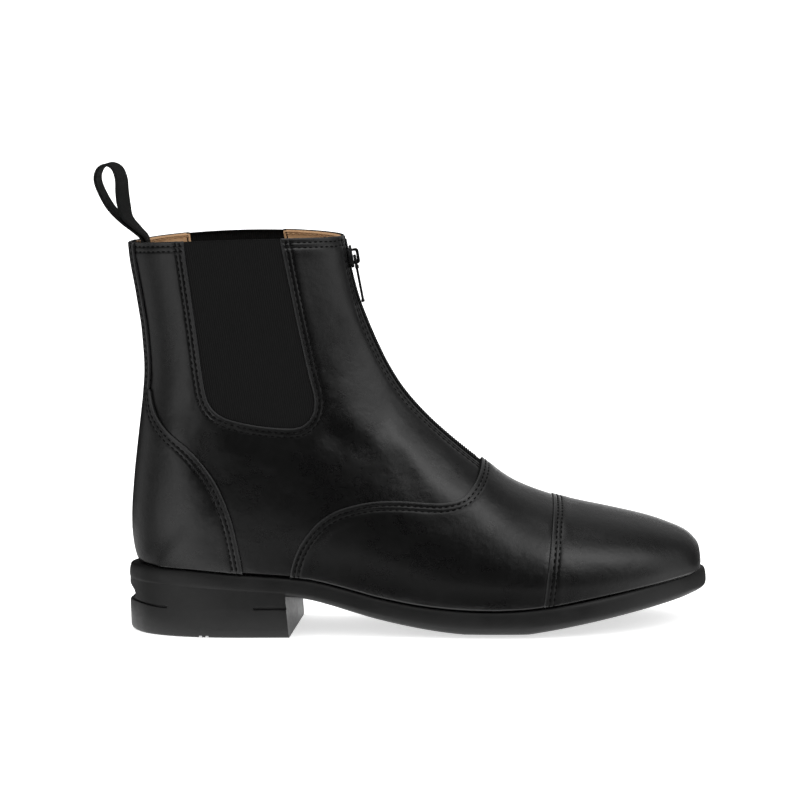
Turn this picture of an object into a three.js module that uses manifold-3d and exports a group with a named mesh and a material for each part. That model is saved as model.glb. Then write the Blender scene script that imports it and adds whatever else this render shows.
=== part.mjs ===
// A right-foot paddock boot: short riding boot with a front zip, elastic side gussets, a straight toe cap,
// a vamp and a heel counter laid over the upper, and a moulded rubber sole with a low heel.
// Millimetres. +X runs from heel to toe, +Y to the inner (medial) side of the foot, +Z up.
// The origin is on the floor under the middle of the heel, a fifth of the sole's length from its back.
import * as THREE from "three";
import { mergeVertices } from "three/addons/utils/BufferGeometryUtils.js";
import Module from "manifold-3d";

const wasm = await Module();
wasm.setup();

// Driving dimensions of the last and the sole
const soleLength = 285;
const ballWidth = 93;
const heelHeight = 31.3;
const ballHeight = 12.7;
const toeSpring = 13.4;
const heelLength = 82;
const collarHeight = 163;
const ankleWidth = 60;

// Thicknesses, margins and clearances
const wall = 2.2;
const overlay = 1.2;
const capStep = 0.5;
const rimMargin = 3.2;
const gap = 0.3;
const insoleThickness = 3;
const elasticThickness = 1.5;
const collarDip = 1.8;
const collarTilt = 1;
const shankRelief = 1.1;

// Zip
const slitHalfWidth = 4.2;
const coilHalfWidth = 2.5;
const coilHeight = 0.5;
const tapeRecess = 0.5;
const tapeThickness = 1.1;
const sliderWidth = 8.4;
const sliderLength = 11;
const sliderPlate = 1.3;
const bailWidth = 1.8;
const bailBar = 1.2;
const bailRoom = 1.7;
const bailSpan = 4.8;
const pullLength = 23;
const pullWidth = 5.6;
const pullThickness = 1.3;

// Pull loop
const loopWidth = 15;
const loopThickness = 1.2;
const loopRise = 37.5;

// Sole details
const breastSkew = 5.8;
const breastLean = 2.3;
const spurRestHeight = 18.6;
const spurRestDepth = 3.4;
const engravedHeight = 14.6;
const engravedWidth = 1.1;
const engravedDepth = 0.8;
const treadDepth = 1;
const treadWidth = 1.6;

// Outline of the sole from above. along is a share of the sole's length from the heel's back; outer and
// inner are shares of the ball width, measured from the heel's centre line.
const outline = [
  { along: 0.0, outer: 0.0, inner: 0.0 },
  { along: 0.02, outer: -0.142, inner: 0.142 },
  { along: 0.05, outer: -0.222, inner: 0.222 },
  { along: 0.1, outer: -0.287, inner: 0.287 },
  { along: 0.16, outer: -0.324, inner: 0.324 },
  { along: 0.24, outer: -0.34, inner: 0.338 },
  { along: 0.32, outer: -0.352, inner: 0.326 },
  { along: 0.4, outer: -0.368, inner: 0.318 },
  { along: 0.48, outer: -0.394, inner: 0.342 },
  { along: 0.56, outer: -0.424, inner: 0.412 },
  { along: 0.63, outer: -0.446, inner: 0.486 },
  { along: 0.7, outer: -0.452, inner: 0.54 },
  { along: 0.76, outer: -0.435, inner: 0.556 },
  { along: 0.82, outer: -0.388, inner: 0.538 },
  { along: 0.88, outer: -0.306, inner: 0.482 },
  { along: 0.93, outer: -0.205, inner: 0.402 },
  { along: 0.97, outer: -0.082, inner: 0.298 },
  { along: 1.0, outer: 0.108, inner: 0.108 },
];

// Side view of the sole's top. heel is a share of the drop from heel to ball, toe a share of the toe spring,
// and thick the sole's thickness as a share of its thickness at the ball.
const soleSide = [
  { along: 0.0, heel: 1.12, toe: 0, thick: 0.85 },
  { along: 0.1, heel: 1.08, toe: 0, thick: 0.85 },
  { along: 0.2, heel: 0.96, toe: 0, thick: 0.85 },
  { along: 0.27, heel: 0.885, toe: 0, thick: 0.84 },
  { along: 0.31, heel: 0.825, toe: 0, thick: 0.86 },
  { along: 0.35, heel: 0.69, toe: 0, thick: 0.9 },
  { along: 0.39, heel: 0.52, toe: 0, thick: 0.94 },
  { along: 0.43, heel: 0.35, toe: 0, thick: 0.95 },
  { along: 0.49, heel: 0.16, toe: 0, thick: 0.97 },
  { along: 0.55, heel: 0.045, toe: 0, thick: 1.01 },
  { along: 0.61, heel: 0, toe: 0, thick: 1.04 },
  { along: 0.67, heel: 0, toe: 0.03, thick: 1.06 },
  { along: 0.72, heel: 0, toe: 0.14, thick: 1.03 },
  { along: 0.81, heel: 0, toe: 0.42, thick: 1.0 },
  { along: 0.9, heel: 0, toe: 0.72, thick: 1.0 },
  { along: 1.0, heel: 0, toe: 1.0, thick: 0.98 },
];

// Side faces of the sole plate and of the heel block: up is a share of the height, inset is in millimetres.
const plateEdge = [
  { up: 0.0, inset: 17 },
  { up: 0.05, inset: 9.5 },
  { up: 0.13, inset: 3.8 },
  { up: 0.22, inset: 1.2 },
  { up: 0.38, inset: 0.1 },
  { up: 0.7, inset: 0.2 },
  { up: 0.92, inset: 0.8 },
  { up: 1.0, inset: 1.7 },
];
const heelEdge = [
  { up: 0.0, inset: 2.0 },
  { up: 0.03, inset: 0.9 },
  { up: 0.08, inset: 0.3 },
  { up: 0.5, inset: 0.1 },
  { up: 1.0, inset: 0.3 },
];

// Sections of the upper, each a slanting plane from the sole or heel back (low) to the instep ridge (top).
// lowX and topX are shares of the sole's length. lowUp is a share of the collar height above the sole's
// top, and topUp the same above the heel seat. outer, inner and ridge are shares of the ball width; belly
// is the share of the way up where the section is widest, and full the power of its rounding.
const sections = [
  [0.985, 0.985, 0, -0.02, 0.108, 0.108, 0.108, 0.4, 2.0],
  [0.982, 0.981, 0, 0.026, -0.005, 0.221, 0.108, 0.4, 2.0],
  [0.975, 0.975, 0, 0.045, -0.06, 0.276, 0.108, 0.38, 2.05],
  [0.962, 0.962, 0, 0.066, -0.112, 0.327, 0.108, 0.35, 2.05],
  [0.938, 0.939, 0, 0.085, -0.174, 0.38, 0.107, 0.32, 2.1],
  [0.893, 0.895, 0, 0.111, -0.262, 0.446, 0.105, 0.29, 2.15],
  [0.82, 0.824, 0, 0.141, -0.352, 0.504, 0.1, 0.27, 2.15],
  [0.735, 0.742, 0, 0.177, -0.414, 0.525, 0.085, 0.26, 2.1],
  [0.655, 0.669, 0, 0.229, -0.426, 0.497, 0.06, 0.25, 2.0],
  [0.575, 0.609, 0, 0.308, -0.41, 0.42, 0.03, 0.24, 1.9],
  [0.49, 0.557, 0, 0.382, -0.386, 0.352, 0.008, 0.24, 1.85],
  [0.4, 0.514, 0, 0.453, -0.366, 0.328, 0, 0.26, 1.85],
  [0.3, 0.478, 0, 0.527, -0.352, 0.33, 0, 0.3, 1.85],
  [0.2, 0.452, 0, 0.6, -0.344, 0.338, 0, 0.34, 1.88],
  [0.1, 0.434, 0, 0.665, -0.338, 0.336, 0, 0.38, 1.9],
  [0.036, 0.4245, 0, 0.704, -0.334, 0.332, 0, 0.42, 1.92],
  [0.021, 0.4195, 0.01, 0.725, -0.33, 0.328, 0, 0.44, 1.94],
  [0.013, 0.4155, 0.07, 0.743, -0.327, 0.325, 0, 0.45, 1.96],
  [0.0115, 0.4115, 0.15, 0.761, -0.324, 0.323, 0, 0.46, 1.98],
  [0.018, 0.4067, 0.28, 0.784, -0.322, 0.321, 0, 0.48, 2.0],
  [0.029, 0.4016, 0.43, 0.811, -0.32, 0.32, 0, 0.49, 2.0],
  [0.0385, 0.3968, 0.58, 0.842, -0.32, 0.32, 0, 0.5, 2.0],
  [0.036, 0.392, 0.7, 0.877, -0.321, 0.321, 0, 0.5, 2.0],
  [0.027, 0.3875, 0.815, 0.915, -0.323, 0.323, 0, 0.5, 2.0],
  [0.018, 0.384, 0.915, 0.955, -0.325, 0.325, 0, 0.5, 2.0],
  [0.0145, 0.3805, 0.985, 0.993, -0.326, 0.326, 0, 0.5, 2.0],
  [0.012, 0.377, 1.06, 1.06, -0.327, 0.327, 0, 0.5, 2.0],
].map(([lowX, topX, lowUp, topUp, outer, inner, ridge, belly, full]) => ({
  lowX, topX, lowUp, topUp, outer, inner, ridge, belly, full,
}));

// Seam lines in side view: along is a share of the sole's length, up a share of the collar height above the
// heel seat.
const vampSeam = [
  { along: 0.276, up: -0.09 },
  { along: 0.281, up: 0.0 },
  { along: 0.291, up: 0.062 },
  { along: 0.307, up: 0.112 },
  { along: 0.329, up: 0.156 },
  { along: 0.358, up: 0.189 },
  { along: 0.392, up: 0.207 },
  { along: 0.426, up: 0.216 },
  { along: 0.468, up: 0.216 },
  { along: 0.51, up: 0.209 },
  { along: 0.544, up: 0.206 },
  { along: 0.573, up: 0.217 },
  { along: 0.593, up: 0.247 },
  { along: 0.605, up: 0.283 },
  { along: 0.61, up: 0.33 },
  { along: 0.613, up: 0.4 },
];
const counterSeam = [
  { along: 0.201, up: -0.05 },
  { along: 0.2, up: 0.005 },
  { along: 0.193, up: 0.083 },
  { along: 0.181, up: 0.175 },
  { along: 0.157, up: 0.278 },
  { along: 0.118, up: 0.368 },
  { along: 0.075, up: 0.43 },
  { along: 0.054, up: 0.485 },
  { along: 0.047, up: 0.545 },
];
const gussetEdge = [
  { along: 0.107, up: 1.08 },
  { along: 0.109, up: 0.99 },
  { along: 0.1275, up: 0.72 },
  { along: 0.139, up: 0.56 },
  { along: 0.15, up: 0.503 },
  { along: 0.174, up: 0.47 },
  { along: 0.217, up: 0.45 },
  { along: 0.264, up: 0.438 },
  { along: 0.3, up: 0.439 },
  { along: 0.321, up: 0.468 },
  { along: 0.327, up: 0.52 },
  { along: 0.318, up: 0.592 },
  { along: 0.299, up: 0.755 },
  { along: 0.274, up: 0.99 },
  { along: 0.266, up: 1.08 },
];
const capLineLow = { along: 0.7085, up: -0.12 };
const capLineTop = { along: 0.736, up: 0.24 };
const backstayHalfWidth = 9;
const backstayFrom = 0.46;

// Tape of the pull loop in side view, from the inner end over the loop to the other end: back is the
// distance in millimetres in front of the collar's back edge, up a share of the loop's rise above the
// collar, and turn the angle in degrees by which the tape is turned out of the side view.
const loopPath = [
  { back: 4.6, up: -0.33, turn: 0 },
  { back: 4.5, up: -0.12, turn: 0 },
  { back: 3.8, up: 0.03, turn: 2 },
  { back: 0.4, up: 0.13, turn: 5 },
  { back: -5.8, up: 0.27, turn: 8 },
  { back: -11.8, up: 0.45, turn: 9 },
  { back: -16.3, up: 0.68, turn: 8 },
  { back: -17.6, up: 0.83, turn: 8 },
  { back: -16.0, up: 0.95, turn: 9 },
  { back: -12.2, up: 1.0, turn: 11 },
  { back: -8.2, up: 0.95, turn: 15 },
  { back: -6.2, up: 0.81, turn: 18 },
  { back: -5.9, up: 0.64, turn: 20 },
  { back: -5.2, up: 0.47, turn: 20 },
  { back: -3.4, up: 0.3, turn: 14 },
  { back: 1.6, up: 0.155, turn: 6 },
  { back: 5.7, up: 0.035, turn: 1 },
  { back: 6.3, up: -0.12, turn: 0 },
  { back: 6.3, up: -0.33, turn: 0 },
];

// Smooth value of one column between rows, at a fractional row number
function column(rows, name, at) {
  const i = Math.min(Math.max(Math.floor(at), 0), rows.length - 2);
  const f = at - i;
  const pick = (k) => rows[Math.min(Math.max(k, 0), rows.length - 1)][name];
  const [a, b, c, d] = [pick(i - 1), pick(i), pick(i + 1), pick(i + 2)];
  return (
    b + 0.5 * f * (c - a + f * (2 * a - 5 * b + 4 * c - d + f * (3 * (b - c) + d - a)))
  );
}

// Fractional row number where a rising column reaches a value
function rowAt(rows, name, value) {
  let low = 0;
  let high = rows.length - 1;
  for (let i = 0; i < 40; i++) {
    const mid = (low + high) / 2;
    if (column(rows, name, mid) < value) low = mid;
    else high = mid;
  }
  return (low + high) / 2;
}

// Height of the sole's top and underside at a distance along it
function soleTop(x) {
  const row = rowAt(soleSide, "along", Math.min(Math.max(x / soleLength, 0), 1));
  const drop = column(soleSide, "heel", row) * (heelHeight - ballHeight);
  return ballHeight + drop + column(soleSide, "toe", row) * toeSpring;
}
function soleBottom(x) {
  const row = rowAt(soleSide, "along", Math.min(Math.max(x / soleLength, 0), 1));
  return Math.max(0, soleTop(x) - column(soleSide, "thick", row) * ballHeight);
}

// Closed curve round the sole: up the outer side from the heel's back to the toe, and back on the inner side
const outlineLast = outline.length - 1;
const outlineCurve = new THREE.CatmullRomCurve3(
  [
    ...outline.map((row) => new THREE.Vector3(row.along * soleLength, row.outer * ballWidth, 0)),
    ...outline
      .slice(1, outlineLast)
      .reverse()
      .map((row) => new THREE.Vector3(row.along * soleLength, row.inner * ballWidth, 0)),
  ],
  true,
  "centripetal",
);

// Point of the sole's outline at a fractional row, on the outer (-1) or inner (1) side, moved inwards by an
// inset
function outlinePoint(row, side, inset) {
  const share = row / (2 * outlineLast);
  const t = side < 0 ? share : (1 - share) % 1;
  const point = outlineCurve.getPoint(t);
  const tangent = outlineCurve.getTangent(t);
  return [point.x - tangent.y * inset, point.y + tangent.x * inset];
}

// Half breadth of the upper's foot line at a distance along it, as the y of its outer or inner edge
const footRows = 240;
const footLine = [-1, 1].map((side) =>
  Array.from({ length: footRows + 1 }, (_, i) =>
    outlinePoint((i / footRows) * outlineLast, side, rimMargin),
  ),
);
function footY(x, side) {
  const line = footLine[side < 0 ? 0 : 1];
  if (x <= line[0][0]) return line[0][1];
  for (let i = 1; i <= footRows; i++) {
    if (x <= line[i][0]) {
      const f = (x - line[i - 1][0]) / (line[i][0] - line[i - 1][0]);
      return line[i - 1][1] + f * (line[i][1] - line[i - 1][1]);
    }
  }
  return line[footRows][1];
}

// Outer surface of the upper: row picks the section, turn runs 0 to 1 from the outer foot line over the
// ridge to the inner foot line. Above the heel seat the sections are closed rings that start and end at the
// heel's back.
const skirt = 6;
const heelRow = 16;
const bellyTurn = 0.36;
const ankleScale = ankleWidth / (ballWidth * 0.645);
function surface(row, turn) {
  const value = (name) => column(sections, name, row);
  const side = turn < 0.5 ? -1 : 1;
  const climb = turn < 0.5 ? turn * 2 : (1 - turn) * 2;
  const lowX = Math.max(value("lowX") * soleLength, rimMargin);
  const topX = value("topX") * soleLength;
  const base = soleTop(lowX);
  const shaftShare = THREE.MathUtils.smoothstep(row, heelRow - 5, heelRow + 2);
  const breadth = ballWidth * (1 + (ankleScale - 1) * shaftShare);
  const lowZ = base + value("lowUp") * collarHeight - (row < heelRow ? skirt : 0);
  const topZ = heelHeight + value("topUp") * collarHeight;
  const ridge = value("ridge") * breadth;
  const widest = Math.abs(value(side < 0 ? "outer" : "inner") * breadth - ridge);
  const foot = row < heelRow ? Math.min(Math.abs(footY(lowX, side) - ridge), widest) : 0;
  const belly = value("belly");
  let share;
  let reach;
  if (climb < bellyTurn) {
    const angle = ((climb / bellyTurn) * Math.PI) / 2;
    share = belly * (1 - Math.cos(angle));
    reach = Math.sqrt(foot ** 2 + (widest ** 2 - foot ** 2) * Math.sin(angle) ** 2);
  } else {
    const angle = (((climb - bellyTurn) / (1 - bellyTurn)) * Math.PI) / 2;
    const power = 2 / value("full");
    share = belly + (1 - belly) * Math.sin(angle) ** power;
    reach = widest * Math.max(Math.cos(angle), 0) ** power;
  }
  return new THREE.Vector3(
    lowX + (topX - lowX) * share,
    ridge + side * reach,
    lowZ + (topZ - lowZ) * share,
  );
}

// The same surface moved outwards by an offset along its normal
function shell(row, turn, offset) {
  const point = surface(row, turn);
  if (row < 0.01) return point.add(new THREE.Vector3(offset, 0, 0));
  const step = 0.004;
  const rowStep = 0.02;
  const along = surface(Math.min(row + rowStep, sections.length - 1), turn).sub(
    surface(Math.max(row - rowStep, 0), turn),
  );
  const closed = row >= heelRow;
  const before = closed ? (turn - step + 1) % 1 : Math.max(turn - step, 0);
  const after = closed ? (turn + step) % 1 : Math.min(turn + step, 1);
  const around = surface(row, after).sub(surface(row, before));
  return point.add(around.cross(along).normalize().multiplyScalar(offset));
}

// Solids and booleans
function solid(points, triangles) {
  const geometry = new THREE.BufferGeometry();
  geometry.setAttribute("position", new THREE.Float32BufferAttribute(points.flat(), 3));
  geometry.setIndex(triangles.flat());
  return solidOf(geometry);
}
function solidOf(geometry) {
  const bare = geometry.clone();
  bare.deleteAttribute("normal");
  bare.deleteAttribute("uv");
  const merged = mergeVertices(bare, 1e-3);
  const index = merged.index.array;
  const triVerts = [];
  for (let i = 0; i < index.length; i += 3) {
    const [a, b, c] = [index[i], index[i + 1], index[i + 2]];
    if (a !== b && b !== c && c !== a) triVerts.push(a, b, c);
  }
  const made = new wasm.Manifold(
    new wasm.Mesh({
      numProp: 3,
      vertProperties: merged.attributes.position.array,
      triVerts: new Uint32Array(triVerts),
    }),
  );
  if (made.volume() > 0) return made;
  for (let i = 0; i < triVerts.length; i += 3) {
    [triVerts[i + 1], triVerts[i + 2]] = [triVerts[i + 2], triVerts[i + 1]];
  }
  return new wasm.Manifold(
    new wasm.Mesh({
      numProp: 3,
      vertProperties: merged.attributes.position.array,
      triVerts: new Uint32Array(triVerts),
    }),
  );
}

// Closed loft through loops of equal count. Each loop is closed across by pairing its points from both ends,
// so the first and last loop are capped by a ladder of triangles.
function loft(loops) {
  const n = loops[0].length;
  const triangles = [];
  const at = (i, j) => i * n + (j % n);
  for (let i = 0; i + 1 < loops.length; i++) {
    for (let j = 0; j < n; j++) {
      triangles.push([at(i, j), at(i + 1, j), at(i + 1, j + 1)]);
      triangles.push([at(i, j), at(i + 1, j + 1), at(i, j + 1)]);
    }
  }
  const cap = (i, flip) => {
    for (let j = 0, k = n - 1; j + 1 < k; ) {
      const ladder = [[j, j + 1, k]];
      if (j + 1 < k - 1) ladder.push([j + 1, k - 1, k]);
      for (const [a, b, c] of ladder) {
        triangles.push(flip ? [at(i, a), at(i, c), at(i, b)] : [at(i, a), at(i, b), at(i, c)]);
      }
      j++;
      k--;
    }
  };
  cap(0, false);
  cap(loops.length - 1, true);
  return solid(loops.flat().map((p) => (Array.isArray(p) ? p : [p.x, p.y, p.z])), triangles);
}

// Straight prism of a closed outline given in side view (x, z), running along y
function sidePrism(points, from, to) {
  return loft([from, to].map((y) => points.map(([x, z]) => [x, y, z])));
}

// Prism for outlines that turn back on themselves, from a shape's own triangulation
function shapePrism(points, from, to) {
  const shape = new THREE.Shape(points.map(([x, z]) => new THREE.Vector2(x, z)));
  const geometry = new THREE.ExtrudeGeometry(shape, { depth: to - from, bevelEnabled: false });
  geometry.rotateX(Math.PI / 2);
  geometry.translate(0, to, 0);
  return solidOf(geometry);
}
function box(x0, x1, y0, y1, z0, z1) {
  const geometry = new THREE.BoxGeometry(x1 - x0, y1 - y0, z1 - z0);
  geometry.translate((x0 + x1) / 2, (y0 + y1) / 2, (z0 + z1) / 2);
  return solidOf(geometry);
}

// Closed form of the upper with its surface moved by an offset
const rowsOfForm = [0, 0.5];
for (let row = 1; row < sections.length; row++) rowsOfForm.push(row);
const turnsOfForm = 26;
const formStore = new Map();
function form(offset) {
  if (!formStore.has(offset)) {
    const loops = rowsOfForm.map((row) => {
      const loop = [];
      for (let j = 0; j <= turnsOfForm; j++) loop.push(shell(row, j / turnsOfForm, offset));
      return loop;
    });
    formStore.set(offset, loft(loops));
  }
  return formStore.get(offset);
}

// Everything under the sole's top, and everything over the collar's edge, each as a block
const reach = 60;
function underBlock(lift) {
  const loops = [];
  for (let x = -reach; x <= soleLength + reach; x += soleLength / 30) {
    const z = soleTop(x) + lift;
    loops.push([[x, -ballWidth, -reach], [x, -ballWidth, z], [x, ballWidth, z], [x, ballWidth, -reach]]);
  }
  return loft(loops);
}
const shaftMiddle = 0.196 * soleLength;
const shaftHalfDepth = 0.183 * soleLength;
function collarZ(x) {
  const share = THREE.MathUtils.clamp((x - shaftMiddle) / shaftHalfDepth, -1.2, 1.2);
  return heelHeight + collarHeight - collarDip * share ** 2 + collarTilt * share;
}
function overBlock(lower) {
  const loops = [];
  for (let x = shaftMiddle - reach; x <= shaftMiddle + reach; x += reach / 8) {
    const z = collarZ(x) - lower;
    const high = heelHeight + collarHeight + reach;
    loops.push([[x, -ballWidth, z], [x, -ballWidth, high], [x, ballWidth, high], [x, ballWidth, z]]);
  }
  return loft(loops);
}

// Seam regions in side view
function seamPoints(rows, steps) {
  const points = [];
  for (let i = 0; i <= (rows.length - 1) * steps; i++) {
    const x = column(rows, "along", i / steps) * soleLength;
    const z = heelHeight + column(rows, "up", i / steps) * collarHeight;
    points.push([x, z]);
  }
  return points;
}
function scaled(point) {
  return [point.along * soleLength, heelHeight + point.up * collarHeight];
}
function grown(points, by) {
  return points.map(([x, z], i) => {
    const [ax, az] = points[Math.max(i - 1, 0)];
    const [bx, bz] = points[Math.min(i + 1, points.length - 1)];
    const size = Math.hypot(bx - ax, bz - az);
    return [x - ((bz - az) / size) * by, z + ((bx - ax) / size) * by];
  });
}
const farFront = soleLength + reach;
const under = -reach;
const capLine = [scaled(capLineLow), scaled(capLineTop)];
const capLineHigh = [
  capLine[0][0] + (capLine[1][0] - capLine[0][0]) * 2,
  capLine[0][1] + (capLine[1][1] - capLine[0][1]) * 2,
];
function capRegion(shift) {
  return shapePrism(
    [
      [capLine[0][0] + shift, capLine[0][1]],
      [farFront, capLine[0][1]],
      [farFront, capLineHigh[1]],
      [capLineHigh[0] + shift, capLineHigh[1]],
    ],
    -ballWidth,
    ballWidth,
  );
}
function vampRegion() {
  const seam = seamPoints(vampSeam, 2);
  const [lastX, lastZ] = seam[seam.length - 1];
  return shapePrism(
    [[seam[0][0], under], ...seam, [lastX, lastZ + reach], [farFront, lastZ + reach], [farFront, under]],
    -ballWidth,
    ballWidth,
  );
}
function counterRegion() {
  const seam = seamPoints(counterSeam, 2);
  const side = shapePrism(
    [[-reach, under], [seam[0][0], under], ...seam, [-reach, seam[seam.length - 1][1]]],
    -ballWidth,
    ballWidth,
  );
  const from = heelHeight + backstayFrom * collarHeight;
  const strip = box(
    -reach, shaftMiddle, -backstayHalfWidth, backstayHalfWidth, from, heelHeight + collarHeight + reach,
  );
  return side.add(strip);
}
function gussetRegion(by, side) {
  const points = grown(seamPoints(gussetEdge, 2), by);
  return shapePrism(points, side < 0 ? -ballWidth : 0, side < 0 ? 0 : ballWidth);
}
const slitEndX = 0.623 * soleLength;
function slitRegion(halfWidth, endX) {
  return box(
    shaftMiddle + shaftHalfDepth / 2, endX, -halfWidth, halfWidth,
    heelHeight, heelHeight + collarHeight + reach,
  );
}

// Upper with its cut-outs, and the pieces laid over it
function makeUpper() {
  let made = form(0).subtract(form(-wall)).subtract(underBlock(gap)).subtract(overBlock(0));
  for (const side of [-1, 1]) made = made.subtract(gussetRegion(0, side));
  return made.subtract(slitRegion(slitHalfWidth, slitEndX));
}
function layer(inner, outer) {
  return form(outer).subtract(form(inner)).subtract(underBlock(gap));
}
function makeVamp() {
  return layer(gap, gap + overlay).intersect(vampRegion()).subtract(capRegion(-gap));
}
function makeToeCap() {
  return layer(gap, gap + overlay + capStep).intersect(capRegion(0));
}
function makeCounter() {
  return layer(gap, gap + overlay).intersect(counterRegion()).subtract(overBlock(0));
}
function makeGusset(side) {
  return form(-gap)
    .subtract(form(-gap - elasticThickness))
    .intersect(gussetRegion(gap, side))
    .subtract(overBlock(gap * 2));
}

// Zip: tape in the slit with the coil standing on it, its top just under the collar
function makeZipChain() {
  const strip = form(-tapeRecess)
    .subtract(form(-tapeRecess - tapeThickness))
    .intersect(slitRegion(slitHalfWidth - gap, slitEndX - gap));
  const coil = form(coilHeight)
    .subtract(form(-tapeRecess - tapeThickness / 2))
    .intersect(slitRegion(coilHalfWidth, 0.6 * soleLength));
  return strip.add(coil).subtract(overBlock(gap));
}

// Point of the front ridge at a fractional section row, with the outward normal and the downward tangent
function ridgeFrame(row, offset) {
  const step = 0.05;
  const down = surface(row - step, 0.5).sub(surface(row + step, 0.5)).normalize();
  const out = new THREE.Vector3(-down.z, 0, down.x);
  return { point: surface(row, 0.5).addScaledVector(out, offset), out, down };
}
const sliderRow = 23.35;
const seat = ridgeFrame(sliderRow, coilHeight + gap);
const pivotHeight = sliderPlate + bailRoom / 2;
const pivot = seat.point.clone().addScaledVector(seat.out, pivotHeight);

// Slider: a plate over the coil with a bail bar standing on it, in its own frame (x out, y across, z up the
// zip)
function makeSlider() {
  const half = sliderLength / 2;
  const plate = shapePrism(
    [
      [0, -half + 1.5],
      [0, half - 0.5],
      [sliderPlate * 0.6, half],
      [sliderPlate, half - 1],
      [sliderPlate, -half + 2.2],
      [sliderPlate * 0.6, -half + 0.6],
    ],
    -sliderWidth / 2,
    sliderWidth / 2,
  );
  const bailHalf = bailSpan / 2 + bailBar;
  const bailTop = sliderPlate + bailRoom + bailBar;
  const buried = sliderPlate * 0.4;
  const bail = shapePrism(
    [
      [buried, -bailHalf],
      [bailTop - 1, -bailHalf],
      [bailTop, -bailHalf + 1.2],
      [bailTop, bailHalf - 1.2],
      [bailTop - 1, bailHalf],
      [buried, bailHalf],
    ],
    -bailWidth / 2,
    bailWidth / 2,
  );
  const hole = box(
    sliderPlate, sliderPlate + bailRoom, -bailWidth, bailWidth, -bailSpan / 2, bailSpan / 2,
  );
  return plate.add(bail.subtract(hole));
}

// Pull tab hanging from the bail: z runs up the tab from its free end to the pivot at the origin
function makePull() {
  const barHalf = 0.6;
  const eyeHalf = bailWidth / 2 + 0.5;
  const eyeLength = bailSpan / 2 + bailBar + 0.9;
  const halfWidth = pullWidth / 2;
  const halfThick = pullThickness / 2;
  const outlinePoints = [
    [-halfWidth * 0.86, barHalf],
    [halfWidth * 0.86, barHalf],
    [halfWidth, barHalf - 1],
    [halfWidth, -eyeLength - 1],
    [halfWidth * 0.72, -eyeLength - 4],
    [halfWidth * 0.8, -pullLength + 3],
    [halfWidth * 0.95, -pullLength + 1],
    [halfWidth * 0.7, -pullLength],
    [-halfWidth * 0.7, -pullLength],
    [-halfWidth * 0.95, -pullLength + 1],
    [-halfWidth * 0.8, -pullLength + 3],
    [-halfWidth * 0.72, -eyeLength - 4],
    [-halfWidth, -eyeLength - 1],
    [-halfWidth, barHalf - 1],
  ];
  const tab = shapePrism(outlinePoints, -halfThick, halfThick);
  const eye = shapePrism(
    [[-eyeHalf, -eyeLength], [eyeHalf, -eyeLength], [eyeHalf, -barHalf], [-eyeHalf, -barHalf]],
    -pullThickness,
    pullThickness,
  );
  return tab.subtract(eye);
}

// Sole plate, heel block and what is cut into them
const soleRows = 34;
function soleLoop(up, inset, zOf) {
  const loop = [];
  for (let i = 0; i <= soleRows; i++) loop.push([-1, (i / soleRows) * outlineLast]);
  for (let i = soleRows; i >= 0; i--) loop.push([1, (i / soleRows) * outlineLast]);
  return loop.map(([side, row]) => {
    const [x, y] = outlinePoint(row, side, inset);
    return [x, y, zOf(x, up)];
  });
}
function makePlate() {
  return loft(
    plateEdge.map(({ up, inset }) =>
      soleLoop(up, inset, (x, share) => soleBottom(x) + share * (soleTop(x) - soleBottom(x))),
    ),
  );
}
const heelSunk = 4.5;
function breastX(y, z) {
  return heelLength + (breastSkew * y) / (ballWidth * 0.64) - (breastLean * z) / heelHeight;
}
function heelForm(extra) {
  return loft(
    heelEdge.map(({ up, inset }) =>
      soleLoop(up, inset + extra, (x, share) => share * (soleTop(Math.min(x, heelLength)) - heelSunk)),
    ),
  );
}
function makeHeelBlock() {
  const half = ballWidth;
  const high = heelHeight * 2;
  const front = loft(
    [-half, half].map((y) => [
      [breastX(y, -2), y, -2],
      [farFront, y, -2],
      [farFront, y, high],
      [breastX(y, high), y, high],
    ]),
  );
  return heelForm(0).subtract(front);
}
function makeSpurRest() {
  const halfHeight = spurRestDepth * 1.35;
  const points = [
    [-reach, spurRestHeight + halfHeight + 1],
    [0, spurRestHeight + halfHeight],
    [spurRestDepth * 0.75, spurRestHeight + halfHeight * 0.45],
    [spurRestDepth, spurRestHeight],
    [spurRestDepth * 0.8, spurRestHeight - halfHeight * 0.4],
    [0, spurRestHeight - halfHeight * 0.75],
    [-reach, spurRestHeight - halfHeight],
  ];
  return shapePrism(points, -ballWidth, ballWidth);
}
const engravedRuns = [
  { from: 0.01, to: 0.066 },
  { from: 0.217, to: 0.31 },
];
function makeEngraving() {
  const ring = heelForm(-1).subtract(heelForm(engravedDepth));
  const low = engravedHeight - engravedWidth / 2;
  const runs = engravedRuns.map(({ from, to }) =>
    box(from * soleLength, to * soleLength, -ballWidth, ballWidth, low, low + engravedWidth),
  );
  return ring.intersect(runs[0].add(runs[1]));
}
const heelGrooves = [0.1225, 0.1337];
function makeHeelGrooves() {
  const grooves = heelGrooves.map((share) => {
    const x = share * soleLength;
    return box(x, x + treadWidth, -ballWidth, ballWidth, -reach, treadDepth);
  });
  return grooves[0].add(grooves[1]);
}

// The shank between heel and forefoot is thinner than the forefoot's tread
const treadStart = 0.358 * soleLength;
const underHeel = 20;
function makeShankRelief() {
  const loops = [];
  for (let x = heelLength - underHeel; x <= treadStart; x += (treadStart - heelLength + underHeel) / 8) {
    const z = soleBottom(x) + shankRelief;
    loops.push([[x, -ballWidth, -reach], [x, -ballWidth, z], [x, ballWidth, z], [x, ballWidth, -reach]]);
  }
  return loft(loops);
}
function makeOutsole() {
  return makePlate()
    .subtract(makeShankRelief())
    .add(makeHeelBlock())
    .subtract(makeSpurRest())
    .subtract(makeEngraving())
    .subtract(makeHeelGrooves());
}

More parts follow.
